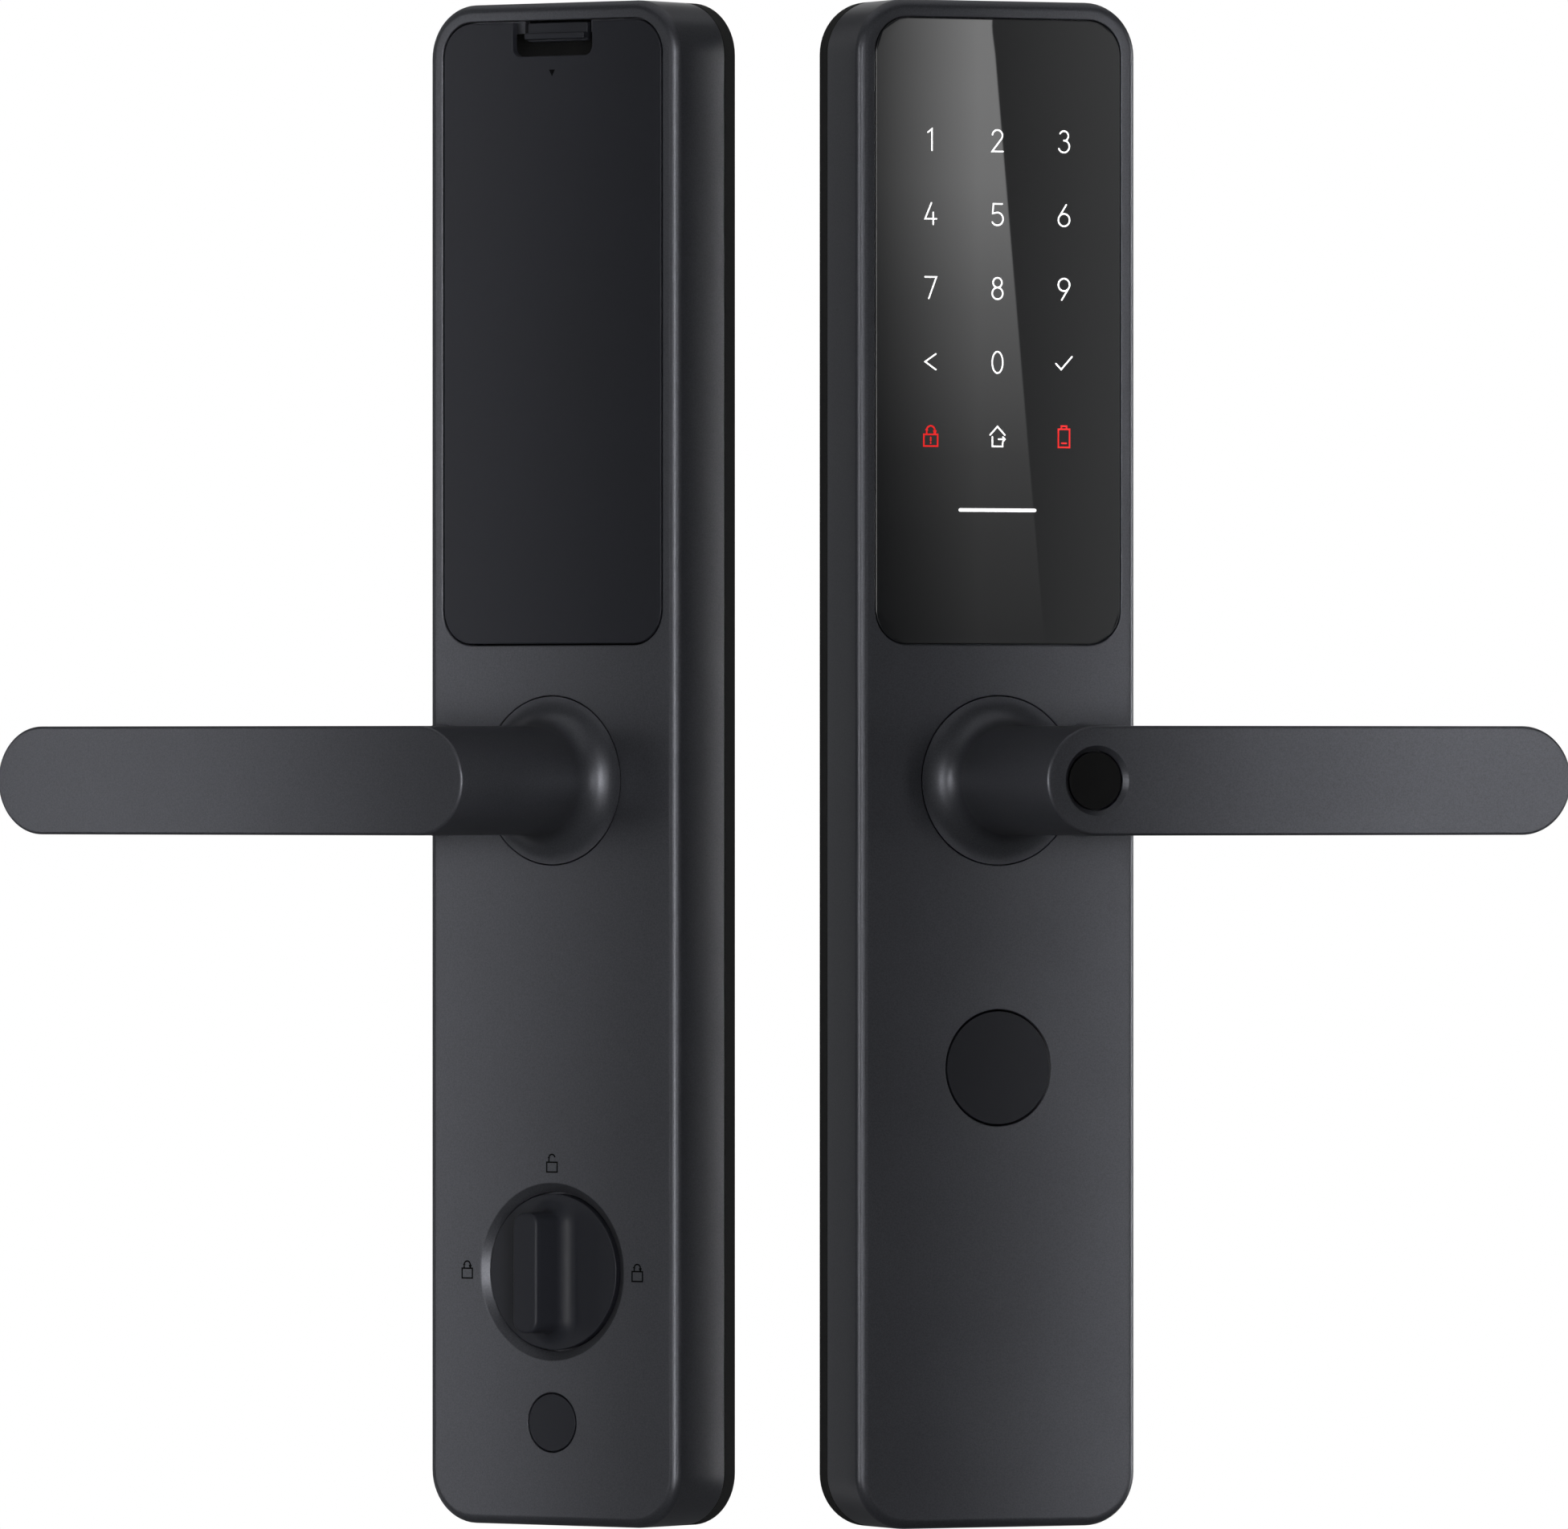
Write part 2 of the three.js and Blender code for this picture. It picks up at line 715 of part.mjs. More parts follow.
  // Base, gasket, threaded posts and screws.
  const holes = [
    disc(hubBossRadius + 1.2, baseFront - 1, 1, 24),
    moved(disc(cylinderRadius + 0.6, baseFront - 1, 1), 0, 0, -keyholeDrop),
    slab(roundedRectangle(socketWidth + 2, socketHeight + 2, 1.5, outerSocketHeight), baseFront - 1, 1, 3),
    ...Object.values(postHeights).map((z) => moved(disc(postRadius + seam, baseFront - 1, 1, 16), 0, 0, z)),
  ];
  add("outer_base", base(outerScrews, holes), materials.black);
  add("outer_gasket", gasket(), materials.rubber);
  for (const [name, z] of Object.entries(postHeights)) {
    const post = cut(
      join(
        disc(postRadius, baseFront - 1, postReach, 16),
        disc(postFlange, baseFront - 1.8, baseFront - seam, 16),
      ),
      disc(postThreadRadius, -gasketProud - 4, postReach + 1, 12),
    );
    add("outer_post_" + name, moved(post, 0, 0, z), materials.steel);
  }
  outerScrews.forEach((at, i) => add("outer_screw_" + (i + 1), screw(at), materials.steel));
  return unit;
}

// ---------------------------------------------------------------- inside unit

// AA cell along Z: the nub is at the top unless it is flipped.
function cell(x, y, z0, flipped) {
  const body = turned(
    [
      [0, 0],
      [cellRadius - 0.4, 0],
      [cellRadius, 0.4],
      [cellRadius, cellLength - cellNub - 0.4],
      [cellRadius - 0.4, cellLength - cellNub],
      [cellNubRadius, cellLength - cellNub],
      [cellNubRadius, cellLength],
      [0, cellLength],
    ],
    14,
  ).rotate([90, 0, 0]);
  const standing = flipped ? moved(body.rotate([180, 0, 0]), 0, 0, cellLength) : body;
  return moved(standing, x, y, z0);
}

function insideUnit() {
  const front = baseFront - innerShellDepth;
  const unit = new THREE.Group();
  const add = (name, body, material) => unit.add(piece(name, body, material));

  // Housing: the window holds the battery cover, and the dish holds the thumb turn.
  const knobSeat = knobRadius + reveal;
  const knobFront = front + knobSink;
  const knobFloor = knobSink + knobThickness + 0.4;
  const knobBoss = moved(disc(dishRadius + 1.5, front + 1, front + knobFloor + bushFloor), 0, 0, -knobDrop);
  const dish = turned([
    [0, front - 1],
    [dishRadius + (dishRadius - knobSeat) / dishDepth, front - 1],
    [knobSeat, front + dishDepth],
    [knobSeat, front + knobFloor],
    [knobStubRadius + slip, front + knobFloor],
    [knobStubRadius + slip, front + knobFloor + bushFloor + 1],
    [0, front + knobFloor + bushFloor + 1],
  ]);
  const trayHalf = (cellColumns * (2 * cellRadius + cellGap)) / 2 + trayWall;
  const hingeZ = windowBottom + reveal + coverHingeRise;
  const hingeY = front + coverHingeDepth;
  const ledgeBack = front + pocketDepth + ledgeThickness;
  const hingeRoom = cut(
    slab(windowOutline(0), front + pocketDepth - 0.1, ledgeBack + 1),
    box([-unitWidth, unitWidth], [front - 50, 0], [hingeZ + hingePinRadius + 1, windowTop + 1]),
  );
  const hingeSpan = windowWidth / 2 + hingeBite;
  const hingeBore = moved(
    rodAlongX(hingePinRadius + slip, -hingeSpan - slip, hingeSpan + slip),
    0,
    hingeY,
    hingeZ,
  );
  const latchRecess = box(
    [-latchWidth / 2 - 1, latchWidth / 2 + 1],
    [front + 1, ledgeBack + 1],
    [windowTop - ledgeWidth - 1, windowTop],
  );
  add(
    "inner_housing",
    cut(
      join(shell(front), leverBoss(front), knobBoss, ...innerScrews.map((at) => screwPost(front, at))),
      ...leverBossCuts(front),
      moved(dish, 0, 0, -knobDrop),
      moved(disc(buttonRadius + reveal, front - 1, front + frontWall + 1, 28), 0, 0, -buttonDrop),
      ...innerScrews.map((at) => screwHole(front, at)),
      hingeRoom,
      hingeBore,
      latchRecess,
    ),
    materials.coated,
  );

  // Battery cover with its finger notch and two hinge pins; the latch slides behind the notch.
  const coverTop = windowTop - reveal;
  const notch = slab(
    roundedRectangle(notchWidth, 2 * notchDepth, notchCorner, coverTop),
    front - 1,
    front + coverRest + 1,
    4,
  );
  const hingePins = [-1, 1].map((side) => {
    const inner = side * (windowWidth / 2 - ledgeWidth - 3);
    const outer = side * hingeSpan;
    const block = box(
      [Math.min(inner, inner + 2 * side), Math.max(inner, inner + 2 * side)],
      [front + coverRest - 0.5, hingeY + hingePinRadius + 0.6],
      [hingeZ - hingePinRadius - 0.6, hingeZ + hingePinRadius + 0.6],
    );
    const pin = rodAlongX(hingePinRadius, Math.min(inner, outer), Math.max(inner, outer));
    return join(block, moved(pin, 0, hingeY, hingeZ));
  });
  add(
    "battery_cover",
    join(cut(slab(windowOutline(reveal), front, front + coverRest), notch), ...hingePins),
    materials.trim,
  );
  const latchTop = coverTop - 0.1;
  const latchFront = front + coverRest + seam;
  const barTop = coverTop - 2.6;
  add(
    "battery_latch",
    join(
      box([-latchWidth / 2, latchWidth / 2], [latchFront, latchFront + 1.6], [latchTop - 4.6, latchTop]),
      box([-latchWidth / 2, latchWidth / 2], [front + 0.7, latchFront + 0.5], [barTop - latchBar, barTop]),
    ),
    materials.trim,
  );

  // Battery tray, its contact strips and the cells, alternately up and down.
  const pitch = 2 * cellRadius + cellGap;
  const rowLength = cellLength + contactRoom;
  const trayLength = cellRows * rowLength + trayWall;
  const trayBottom = trayMiddle - trayLength / 2;
  const trayTop = trayMiddle + trayLength / 2;
  const trayBack = shellBack;
  const trayFloor = trayBack - 1;
  const cellY = trayFloor - seam - cellRadius;
  const trayInside = (from, to) =>
    box([-trayHalf + trayWall, trayHalf - trayWall], [cellY - 50, trayFloor], [from, to]);
  const partition = trayBottom + rowLength;
  add(
    "battery_tray",
    cut(
      box([-trayHalf, trayHalf], [cellY - 2, trayBack], [trayBottom - trayWall, trayTop + trayWall]),
      trayInside(trayBottom, partition),
      trayInside(partition + trayWall, trayTop),
    ),
    materials.black,
  );
  for (let row = 0; row < cellRows; row++) {
    const rowBottom = trayBottom + row * (rowLength + trayWall);
    for (let column = 0; column < cellColumns; column++) {
      const x = (column - (cellColumns - 1) / 2) * pitch;
      const name = "battery_cell_" + (row * cellColumns + column + 1);
      add(name, cell(x, cellY, rowBottom + contactRoom / 2, (row + column) % 2 === 1), materials.cell);
    }
  }
  const contacts = (z0, z1, bump) => {
    const reach = trayHalf - trayWall - 0.4;
    const strip = box([-reach, reach], [cellY - 1.8, trayFloor - seam], [z0, z1]);
    const buttons = [...Array(cellColumns).keys()].map((column) =>
      moved(
        rodAlongZ(2.2, Math.min(bump, z0), Math.max(bump, z1), 8),
        (column - (cellColumns - 1) / 2) * pitch,
        cellY,
        0,
      ),
    );
    return join(strip, ...buttons);
  };
  add(
    "battery_contacts_lower",
    contacts(trayBottom + seam, trayBottom + seam + 0.5, trayBottom + contactRoom / 2 - seam),
    materials.steel,
  );
  add(
    "battery_contacts_upper",
    contacts(trayTop - seam - 0.5, trayTop - seam, trayTop - contactRoom / 2 + seam),
    materials.steel,
  );

  // Main board between the lever and the thumb turn.
  const boardBack = baseFront - 3;
  add(
    "main_board",
    box([-32, 32], [boardBack - 1.6, boardBack], [-knobDrop + dishRadius + 4, -bossRadius - 4]),
    materials.board,
  );
  const headerPins = [...Array(headerPinCount).keys()].map((i) => {
    const x = (i - (headerPinCount - 1) / 2) * headerPitch;
    return box(
      [x - 0.4, x + 0.4],
      [boardBack + 1, -gasketProud - 0.5],
      [headerHeight - 0.4, headerHeight + 0.4],
    );
  });
  add(
    "inner_harness_header",
    join(
      box(
        [-socketWidth / 2, socketWidth / 2],
        [boardBack + seam, boardBack + 1.8],
        [headerHeight - socketHeight / 4, headerHeight + socketHeight / 4],
      ),
      ...headerPins,
    ),
    materials.polymer,
  );

  // Lever, bush, return spring, and the hub with its square spindle.
  add("inner_lever", lever(front, -1), materials.coated);
  add("inner_lever_bush", bush(front), materials.polymer);
  const hub = hubFront(front);
  const half = spindleSide / 2;
  add(
    "inner_hub",
    join(
      disc(hubRadius, hub, hub + hubThickness),
      disc(hubBossRadius, hub + hubThickness - 1, hub + hubThickness + hubBossLength, 28),
      box([-half, half], [hub + 1, innerSpindleReach], [-half, half]),
    ),
    materials.steel,
  );
  add("inner_return_spring", returnSpring(front), materials.steel);

  // Thumb turn: knob, tail bar, detent cam, and the leaf that snaps into the cam's notches.
  const turn = new THREE.Group();
  turn.position.z = -knobDrop;
  unit.add(turn);
  const addTurn = (name, body, material) => turn.add(piece(name, body, material));
  const stubBack = front + knobFloor + bushFloor + 0.8;
  const knobBody = turned([
    [0, knobFront],
    [knobRadius, knobFront],
    [knobRadius, knobFront + knobThickness],
    [knobStubRadius, knobFront + knobThickness],
    [knobStubRadius, stubBack],
    [0, stubBack],
  ]);
  const gripOutline = (spread) =>
    roundedRectangle(gripWidth + 2 * spread, gripLength + 2 * spread, gripWidth / 2 + spread - gripFlat);
  const footSteps = 4;
  const foot = [...Array(footSteps + 1).keys()].map((i) => {
    const a = (Math.PI / 2) * (i / footSteps);
    return [gripOutline(gripFoot * (1 - Math.cos(a))), knobFront - gripFoot * (1 - Math.sin(a))];
  });
  const grip = lofted([
    [gripOutline(-gripEdge), front - gripHeight],
    [gripOutline(0), front - gripHeight + gripEdge],
    ...foot,
    [gripOutline(gripFoot), knobFront + 0.5],
  ]);
  addTurn("thumb_turn_knob", join(knobBody, grip), materials.trim);
  const camFront = stubBack + seam;
  const notchCutter = disc(detentNotch, camFront - 1, camFront + detentThickness + 1, 10);
  const notchAt = (angle) => moved(notchCutter, 0, 0, detentRadius).rotate([0, angle, 0]);
  addTurn(
    "detent_cam",
    cut(disc(detentRadius, camFront, camFront + detentThickness), ...[0, 90, -90].map(notchAt)),
    materials.polymer,
  );
  addTurn(
    "detent_spring",
    join(
      box([-9, 9], [camFront, camFront + detentThickness], [detentRadius + 1.2, detentRadius + 1.8]),
      moved(disc(detentNotch - 0.5, camFront, camFront + detentThickness, 10), 0, 0, detentRadius + 1.6),
    ),
    materials.steel,
  );
  const side = turnBarSide / 2;
  addTurn(
    "thumb_turn_bar",
    box([-side, side], [camFront + detentThickness + seam, turnBarReach], [-side, side]),
    materials.steel,
  );

  // Function button, its spring and the board that its stem reaches.
  const button = new THREE.Group();
  button.position.z = -buttonDrop;
  unit.add(button);
  const addButton = (name, body, material) => button.add(piece(name, body, material));
  const capBack = front + buttonCap;
  const stemBack = capBack + 4;
  addButton(
    "function_button",
    turned(
      [
        [0, front],
        [buttonRadius, front],
        [buttonRadius, capBack],
        [buttonFlange, capBack],
        [buttonFlange, capBack + 1],
        [buttonStem, capBack + 1],
        [buttonStem, stemBack],
        [0, stemBack],
      ],
      28,
    ),
    materials.trim,
  );
  const switchFront = stemBack + buttonTravel + seam;
  addButton(
    "button_switch",
    join(
      box([-3.1, 3.1], [switchFront, switchFront + 3], [-3.1, 3.1]),
      box([-9, 9], [switchFront + 2.5, switchFront + 4.1], [-9, 9]),
    ),
    materials.board,
  );
  const coilPoints = [];
  const coilTurns = 4;
  const coilSteps = 8 * coilTurns;
  const coilFrom = capBack + 1 + buttonTravel + seam + buttonSpringWire;
  const coilTo = switchFront + 2.5 - seam - buttonSpringWire;
  for (let i = 0; i <= coilSteps; i++) {
    const a = (2 * Math.PI * i) / 8;
    const y = coilFrom + ((coilTo - coilFrom) * i) / coilSteps;
    coilPoints.push(new THREE.Vector3(6 * Math.cos(a), y, 6 * Math.sin(a)));
  }
  addButton(
    "function_button_spring",
    wire(new THREE.CatmullRomCurve3(coilPoints), buttonSpringWire, coilSteps, 4),
    materials.steel,
  );

  // Base, gasket and screws.
  const holes = [
    disc(hubBossRadius + 1.2, baseFront - 1, 1, 24),
    moved(disc(turnBarSide + 1.5, baseFront - 1, 1, 20), 0, 0, -knobDrop),
    slab(roundedRectangle(socketWidth + 2, socketHeight + 2, 1.5, headerHeight), baseFront - 1, 1, 3),
    ...Object.values(postHeights).map((z) => moved(disc(boltHoleRadius, baseFront - 1, 1, 16), 0, 0, z)),
  ];
  add("inner_base", base(innerScrews, holes), materials.black);
  add("inner_gasket", gasket(), materials.rubber);
  innerScrews.forEach((at, i) => add("inner_screw_" + (i + 1), screw(at), materials.steel));
  return unit;
}

// ---------------------------------------------------------------- the pair

const lock = new THREE.Group();
lock.add(outsideUnit());
const inside = insideUnit();
inside.position.set(...insidePosition);
inside.rotation.z = -THREE.MathUtils.degToRad(insideTurn);
lock.add(inside);

export default lock;
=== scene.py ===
"""Looks of the keypad smart lock: the outside and inside escutcheons of one lever lock, off the door.

Every shape is made in the frame of the unit it belongs to, in millimetres: x to the right as the
unit is faced, y into the door with 0 at the door face, z up from the spindle axis. Unit.place takes
that frame to the row frame in metres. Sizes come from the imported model's nodes.
"""

import json
import math

import bmesh
import bpy
from mathutils import Matrix, Vector


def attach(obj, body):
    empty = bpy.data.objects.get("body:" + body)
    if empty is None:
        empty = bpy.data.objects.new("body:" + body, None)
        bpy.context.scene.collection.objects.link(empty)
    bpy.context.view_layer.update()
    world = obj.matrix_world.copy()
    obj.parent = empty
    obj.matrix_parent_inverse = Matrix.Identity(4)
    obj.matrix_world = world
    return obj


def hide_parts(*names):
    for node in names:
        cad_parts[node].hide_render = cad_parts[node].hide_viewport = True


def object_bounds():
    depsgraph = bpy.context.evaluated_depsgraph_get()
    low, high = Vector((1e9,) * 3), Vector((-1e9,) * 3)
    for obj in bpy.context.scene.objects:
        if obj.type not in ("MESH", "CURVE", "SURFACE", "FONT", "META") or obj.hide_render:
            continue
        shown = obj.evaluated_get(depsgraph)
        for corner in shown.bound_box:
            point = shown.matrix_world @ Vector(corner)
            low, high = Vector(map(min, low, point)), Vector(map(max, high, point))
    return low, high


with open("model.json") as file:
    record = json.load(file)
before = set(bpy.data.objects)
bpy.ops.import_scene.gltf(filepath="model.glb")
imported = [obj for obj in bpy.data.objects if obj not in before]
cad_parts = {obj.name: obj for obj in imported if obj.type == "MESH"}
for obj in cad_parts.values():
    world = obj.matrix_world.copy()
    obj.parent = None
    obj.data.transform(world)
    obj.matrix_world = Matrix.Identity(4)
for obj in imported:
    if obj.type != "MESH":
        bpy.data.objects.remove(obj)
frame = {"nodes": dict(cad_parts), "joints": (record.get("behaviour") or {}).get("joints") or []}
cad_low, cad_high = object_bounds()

TURN = 2 * math.pi
QUARTER = math.pi / 2
MM = 0.001
SHARP = math.radians(32)
scene = bpy.context.scene

# ---- units


class Unit:
    """The frame of one escutcheon, and the sizes of CAD nodes in it."""

    def __init__(self, prefix, origin, into):
        right = Vector((into.y, -into.x, 0))
        self.prefix = prefix
        self.place = Matrix(
            (
                (right.x * MM, into.x * MM, 0, origin.x),
                (right.y * MM, into.y * MM, 0, origin.y),
                (0, 0, MM, origin.z),
                (0, 0, 0, 1),
            )
        )
        back = self.place.inverted()
        self.boxes = {}
        for name, node in frame["nodes"].items():
            points = [back @ v.co for v in node.data.vertices]
            low = Vector(min(p[i] for p in points) for i in range(3))
            high = Vector(max(p[i] for p in points) for i in range(3))
            self.boxes[name] = (low, high)
        self.front = self.low(prefix + "_housing").y

    def low(self, node):
        return self.boxes[node][0]

    def high(self, node):
        return self.boxes[node][1]

    def middle(self, node):
        return (self.low(node) + self.high(node)) / 2

    def size(self, node):
        return self.high(node) - self.low(node)

    def point(self, x, y, z):
        return self.place @ Vector((x, y, z))


joints = {j["name"]: j for j in frame["joints"]}
outer = Unit("outer", Vector((0, 0, 0)), Vector((0, 1, 0)))
inner_axis = joints["inner_lever_turn"]
inner_into = -Vector(inner_axis["axis"]).normalized()
inner = Unit("inner", Vector(inner_axis["pos_m"]), inner_into)

# ---- shape helpers


def rounded(w, h, r, cz=0.0, cx=0.0, n=14):
    """A rounded rectangle, counter-clockwise from its right side."""
    points = []
    for k, (sx, sz) in enumerate(((1, 1), (-1, 1), (-1, -1), (1, -1))):
        for i in range(n + 1):
            a = (k + i / n) * QUARTER
            x = cx + sx * (w / 2 - r) + r * math.cos(a)
            points.append((x, cz + sz * (h / 2 - r) + r * math.sin(a)))
    return points


def circle(r, cz=0.0, cx=0.0, n=96):
    return [(cx + r * math.cos(TURN * i / n), cz + r * math.sin(TURN * i / n)) for i in range(n)]


def arc(cx, cz, r, start, end, n=12):
    """Points of an arc; the angles are in degrees."""
    out = []
    for i in range(n + 1):
        a = math.radians(start + (end - start) * i / n)
        out.append((cx + r * math.cos(a), cz + r * math.sin(a)))
    return out


def soften(points, radius, steps=3):
    """An open profile with each of its inner corners rounded."""
    out = [points[0]]
    for before, at, after in zip(points, points[1:], points[2:]):
        p, a, b = Vector(at), Vector(before), Vector(after)
        r = min(radius, (a - p).length * 0.45, (b - p).length * 0.45)
        one = p + (a - p).normalized() * r
        two = p + (b - p).normalized() * r
        for i in range(steps + 1):
            t = i / steps
            out.append(tuple(one * (1 - t) ** 2 + p * 2 * t * (1 - t) + two * t * t))
    out.append(points[-1])
    return out


class Skin:
    """A mesh under construction in a unit's frame."""

    def __init__(self):
        self.bm = bmesh.new()

    def ring(self, points, y):
        return [self.bm.verts.new((x, y, z)) for x, z in points]

    def bridge(self, a, b):
        n = len(a)
        for i in range(n):
            j = (i + 1) % n
            self.bm.faces.new((a[i], a[j], b[j], b[i]))

    def stack(self, rings):
        for a, b in zip(rings, rings[1:]):
            self.bridge(a, b)
        return rings[0], rings[-1]

    def fill(self, *loops):
        edges = []
        for loop in loops:
            for i, v in enumerate(loop):
                pair = (v, loop[(i + 1) % len(loop)])
                edges.append(self.bm.edges.get(pair) or self.bm.edges.new(pair))
        bmesh.ops.triangle_fill(self.bm, use_beauty=True, edges=edges)

    def edge(self, outline, y, r, out, steps=4):
        """Rings of a rounded edge, from the flat face at y round to the wall.

        outline(inset) gives the outline. out is -1 at the front and 1 at the rear.
        """
        rings = []
        for i in range(steps + 1):
            a = QUARTER * i / steps
            rings.append(self.ring(outline(r * (1 - math.sin(a))), y - out * r * (1 - math.cos(a))))
        return rings

    def pocket(self, outline, y, depth, r, out=-1):
        """A sunk floor behind a rounded rim, which is returned. outline(g) is the hole grown by g."""
        rings = self.edge(outline, y, r, out, 3) + [self.ring(outline(0), y - out * depth)]
        rim, floor = self.stack(rings)
        self.fill(floor)
        return rim

    def slab(self, outline, front, back, r_front=0.25, r_back=0.25, steps=4):
        """A closed plate. outline(inset) gives its outline."""
        rings = self.edge(outline, front, r_front, -1, steps)
        rings += self.edge(outline, back, r_back, 1, steps)[::-1]
        first, last = self.stack(rings)
        self.fill(first)
        self.fill(last)

    def turned(self, profile, cz=0.0, cx=0.0, n=64):
        """A profile of (radius, y) turned about y: closed on the axis at its ends, or a ring."""
        rings = []
        for r, y in profile:
            if r < 1e-6:
                rings.append([self.bm.verts.new((cx, y, cz))] * n)
            else:
                rings.append(self.ring(circle(r, cz, cx, n), y))
        if profile[0][0] > 1e-6:
            rings.append(rings[0])
        for a, b in zip(rings, rings[1:]):
            for i in range(n):
                j = (i + 1) % n
                corners = []
                for v in (a[i], a[j], b[j], b[i]):
                    if v not in corners:
                        corners.append(v)
                if len(corners) > 2:
                    self.bm.faces.new(corners)

    def round_end(self, at, along, r):
        """Three points round the end of a stroke that runs along a direction."""
        sides = (Vector((-along.y, along.x)), along, Vector((along.y, -along.x)))
        return [at + side.lerp(along, 0.5).normalized() * r for side in sides]

    def stroke(self, points, width, back, front, closed=False):
        """A thin raised line along points in x and z."""
        n = len(points)
        p = [Vector(q) for q in points]
        left, right = [], []
        for i in range(n):
            before = p[i] - p[i - 1] if i or closed else p[1] - p[0]
            after = p[(i + 1) % n] - p[i] if i < n - 1 or closed else p[-1] - p[-2]
            one, two = before.normalized(), after.normalized()
            mean = (one + two).normalized()
            side = Vector((-mean.y, mean.x)) * (width / 2 / max(0.4, mean.dot(one)))
            left.append(p[i] + side)
            right.append(p[i] - side)
        if not closed:
            tip = self.round_end(p[-1], (p[-1] - p[-2]).normalized(), width / 2)
            tail = self.round_end(p[0], (p[0] - p[1]).normalized(), width / 2)
            loop = [tuple(q) for q in left + tip + right[::-1] + tail]
            top, bottom = self.ring(loop, front), self.ring(loop, back)
            self.bridge(top, bottom)
            self.fill(top)
            self.fill(bottom)
            return
        corners = ((left, front), (right, front), (right, back), (left, back))
        rings = [self.ring([tuple(q) for q in line], y) for line, y in corners]
        self.stack(rings + rings[:1])

    def piece(self, name, unit, body, slot, nodes=(), sharp=SHARP, cuts=()):
        """Ends the mesh: a smooth-shaded object in the row frame that rides on a body."""
        bm = self.bm
        bmesh.ops.remove_doubles(bm, verts=bm.verts, dist=1e-5)
        bmesh.ops.recalc_face_normals(bm, faces=bm.faces)
        mesh = bpy.data.meshes.new(name)
        bm.to_mesh(mesh)
        bm.free()
        obj = bpy.data.objects.new(name, mesh)
        scene.collection.objects.link(obj)
        for cutter in cuts:
            carve(obj, cutter)
        mesh = obj.data
        mesh.transform(unit.place)
        mesh.shade_smooth()
        mesh.set_sharp_from_angle(angle=sharp)
        mesh.materials.clear()
        mesh.materials.append(finishes[slot])
        weighted = obj.modifiers.new("Weighted", "WEIGHTED_NORMAL")
        weighted.keep_sharp = True
        weighted.weight = 100
        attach(obj, body)
        if nodes:
            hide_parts(*nodes)
        return obj


def carve(obj, cutter):
    """Cuts a closed Skin out of an object and keeps the result as its mesh."""
    bmesh.ops.recalc_face_normals(cutter.bm, faces=cutter.bm.faces)
    mesh = bpy.data.meshes.new("cutter")
    cutter.bm.to_mesh(mesh)
    tool = bpy.data.objects.new("cutter", mesh)
    scene.collection.objects.link(tool)
    boolean = obj.modifiers.new("Cut", "BOOLEAN")
    boolean.operation = "DIFFERENCE"
    boolean.object = tool
    boolean.solver = "MANIFOLD"
    result = bpy.data.meshes.new_from_object(obj.evaluated_get(bpy.context.evaluated_depsgraph_get()))
    obj.modifiers.clear()
    obj.data = result
    bpy.data.objects.remove(tool)


def block(x, y, z):
    """A closed box between two values on each axis."""
    skin = Skin()
    corners = [(x[0], z[0]), (x[1], z[0]), (x[1], z[1]), (x[0], z[1])]
    first, last = skin.stack([skin.ring(corners, y[0]), skin.ring(corners, y[1])])
    skin.bm.faces.new(first)
    skin.bm.faces.new(last)
    return skin


def plug(outline, y0, y1):
    """A closed sharp-edged prism for cutting."""
    skin = Skin()
    first, last = skin.stack([skin.ring(outline, y0), skin.ring(outline, y1)])
    skin.fill(first)
    skin.fill(last)
    return skin


# ---- materials

finishes = {}


def linear(value):
    v = value / 255
    return v / 12.92 if v <= 0.04045 else ((v + 0.055) / 1.055) ** 2.4


def colour(r, g, b):
    return (linear(r), linear(g), linear(b), 1)


def add(tree, kind, inputs, **settings):
    """A shader node with its settings, its inputs set to a value or linked to a socket."""
    node = tree.nodes.new("ShaderNode" + kind)
    for key, value in settings.items():
        setattr(node, key, value)
    for key, value in inputs.items():
        if isinstance(value, bpy.types.NodeSocket):
            tree.links.new(value, node.inputs[key])
        else:
            node.inputs[key].default_value = value
    return node


def noise(tree, coordinates, scale, detail=2.0):
    inputs = {"Scale": scale, "Detail": detail, "Vector": coordinates}
    return add(tree, "TexNoise", inputs).outputs["Fac"]


def spread(tree, value, low, high, half=0.25):
    """A value that varies round a half, mapped to low..high."""
    inputs = {"From Min": 0.5 - half, "From Max": 0.5 + half, "To Min": low, "To Max": high}
    return add(tree, "MapRange", inputs | {"Value": value}).outputs["Result"]


def times(tree, a, b):
    return add(tree, "Math", {0: a, 1: b}, operation="MULTIPLY").outputs[0]


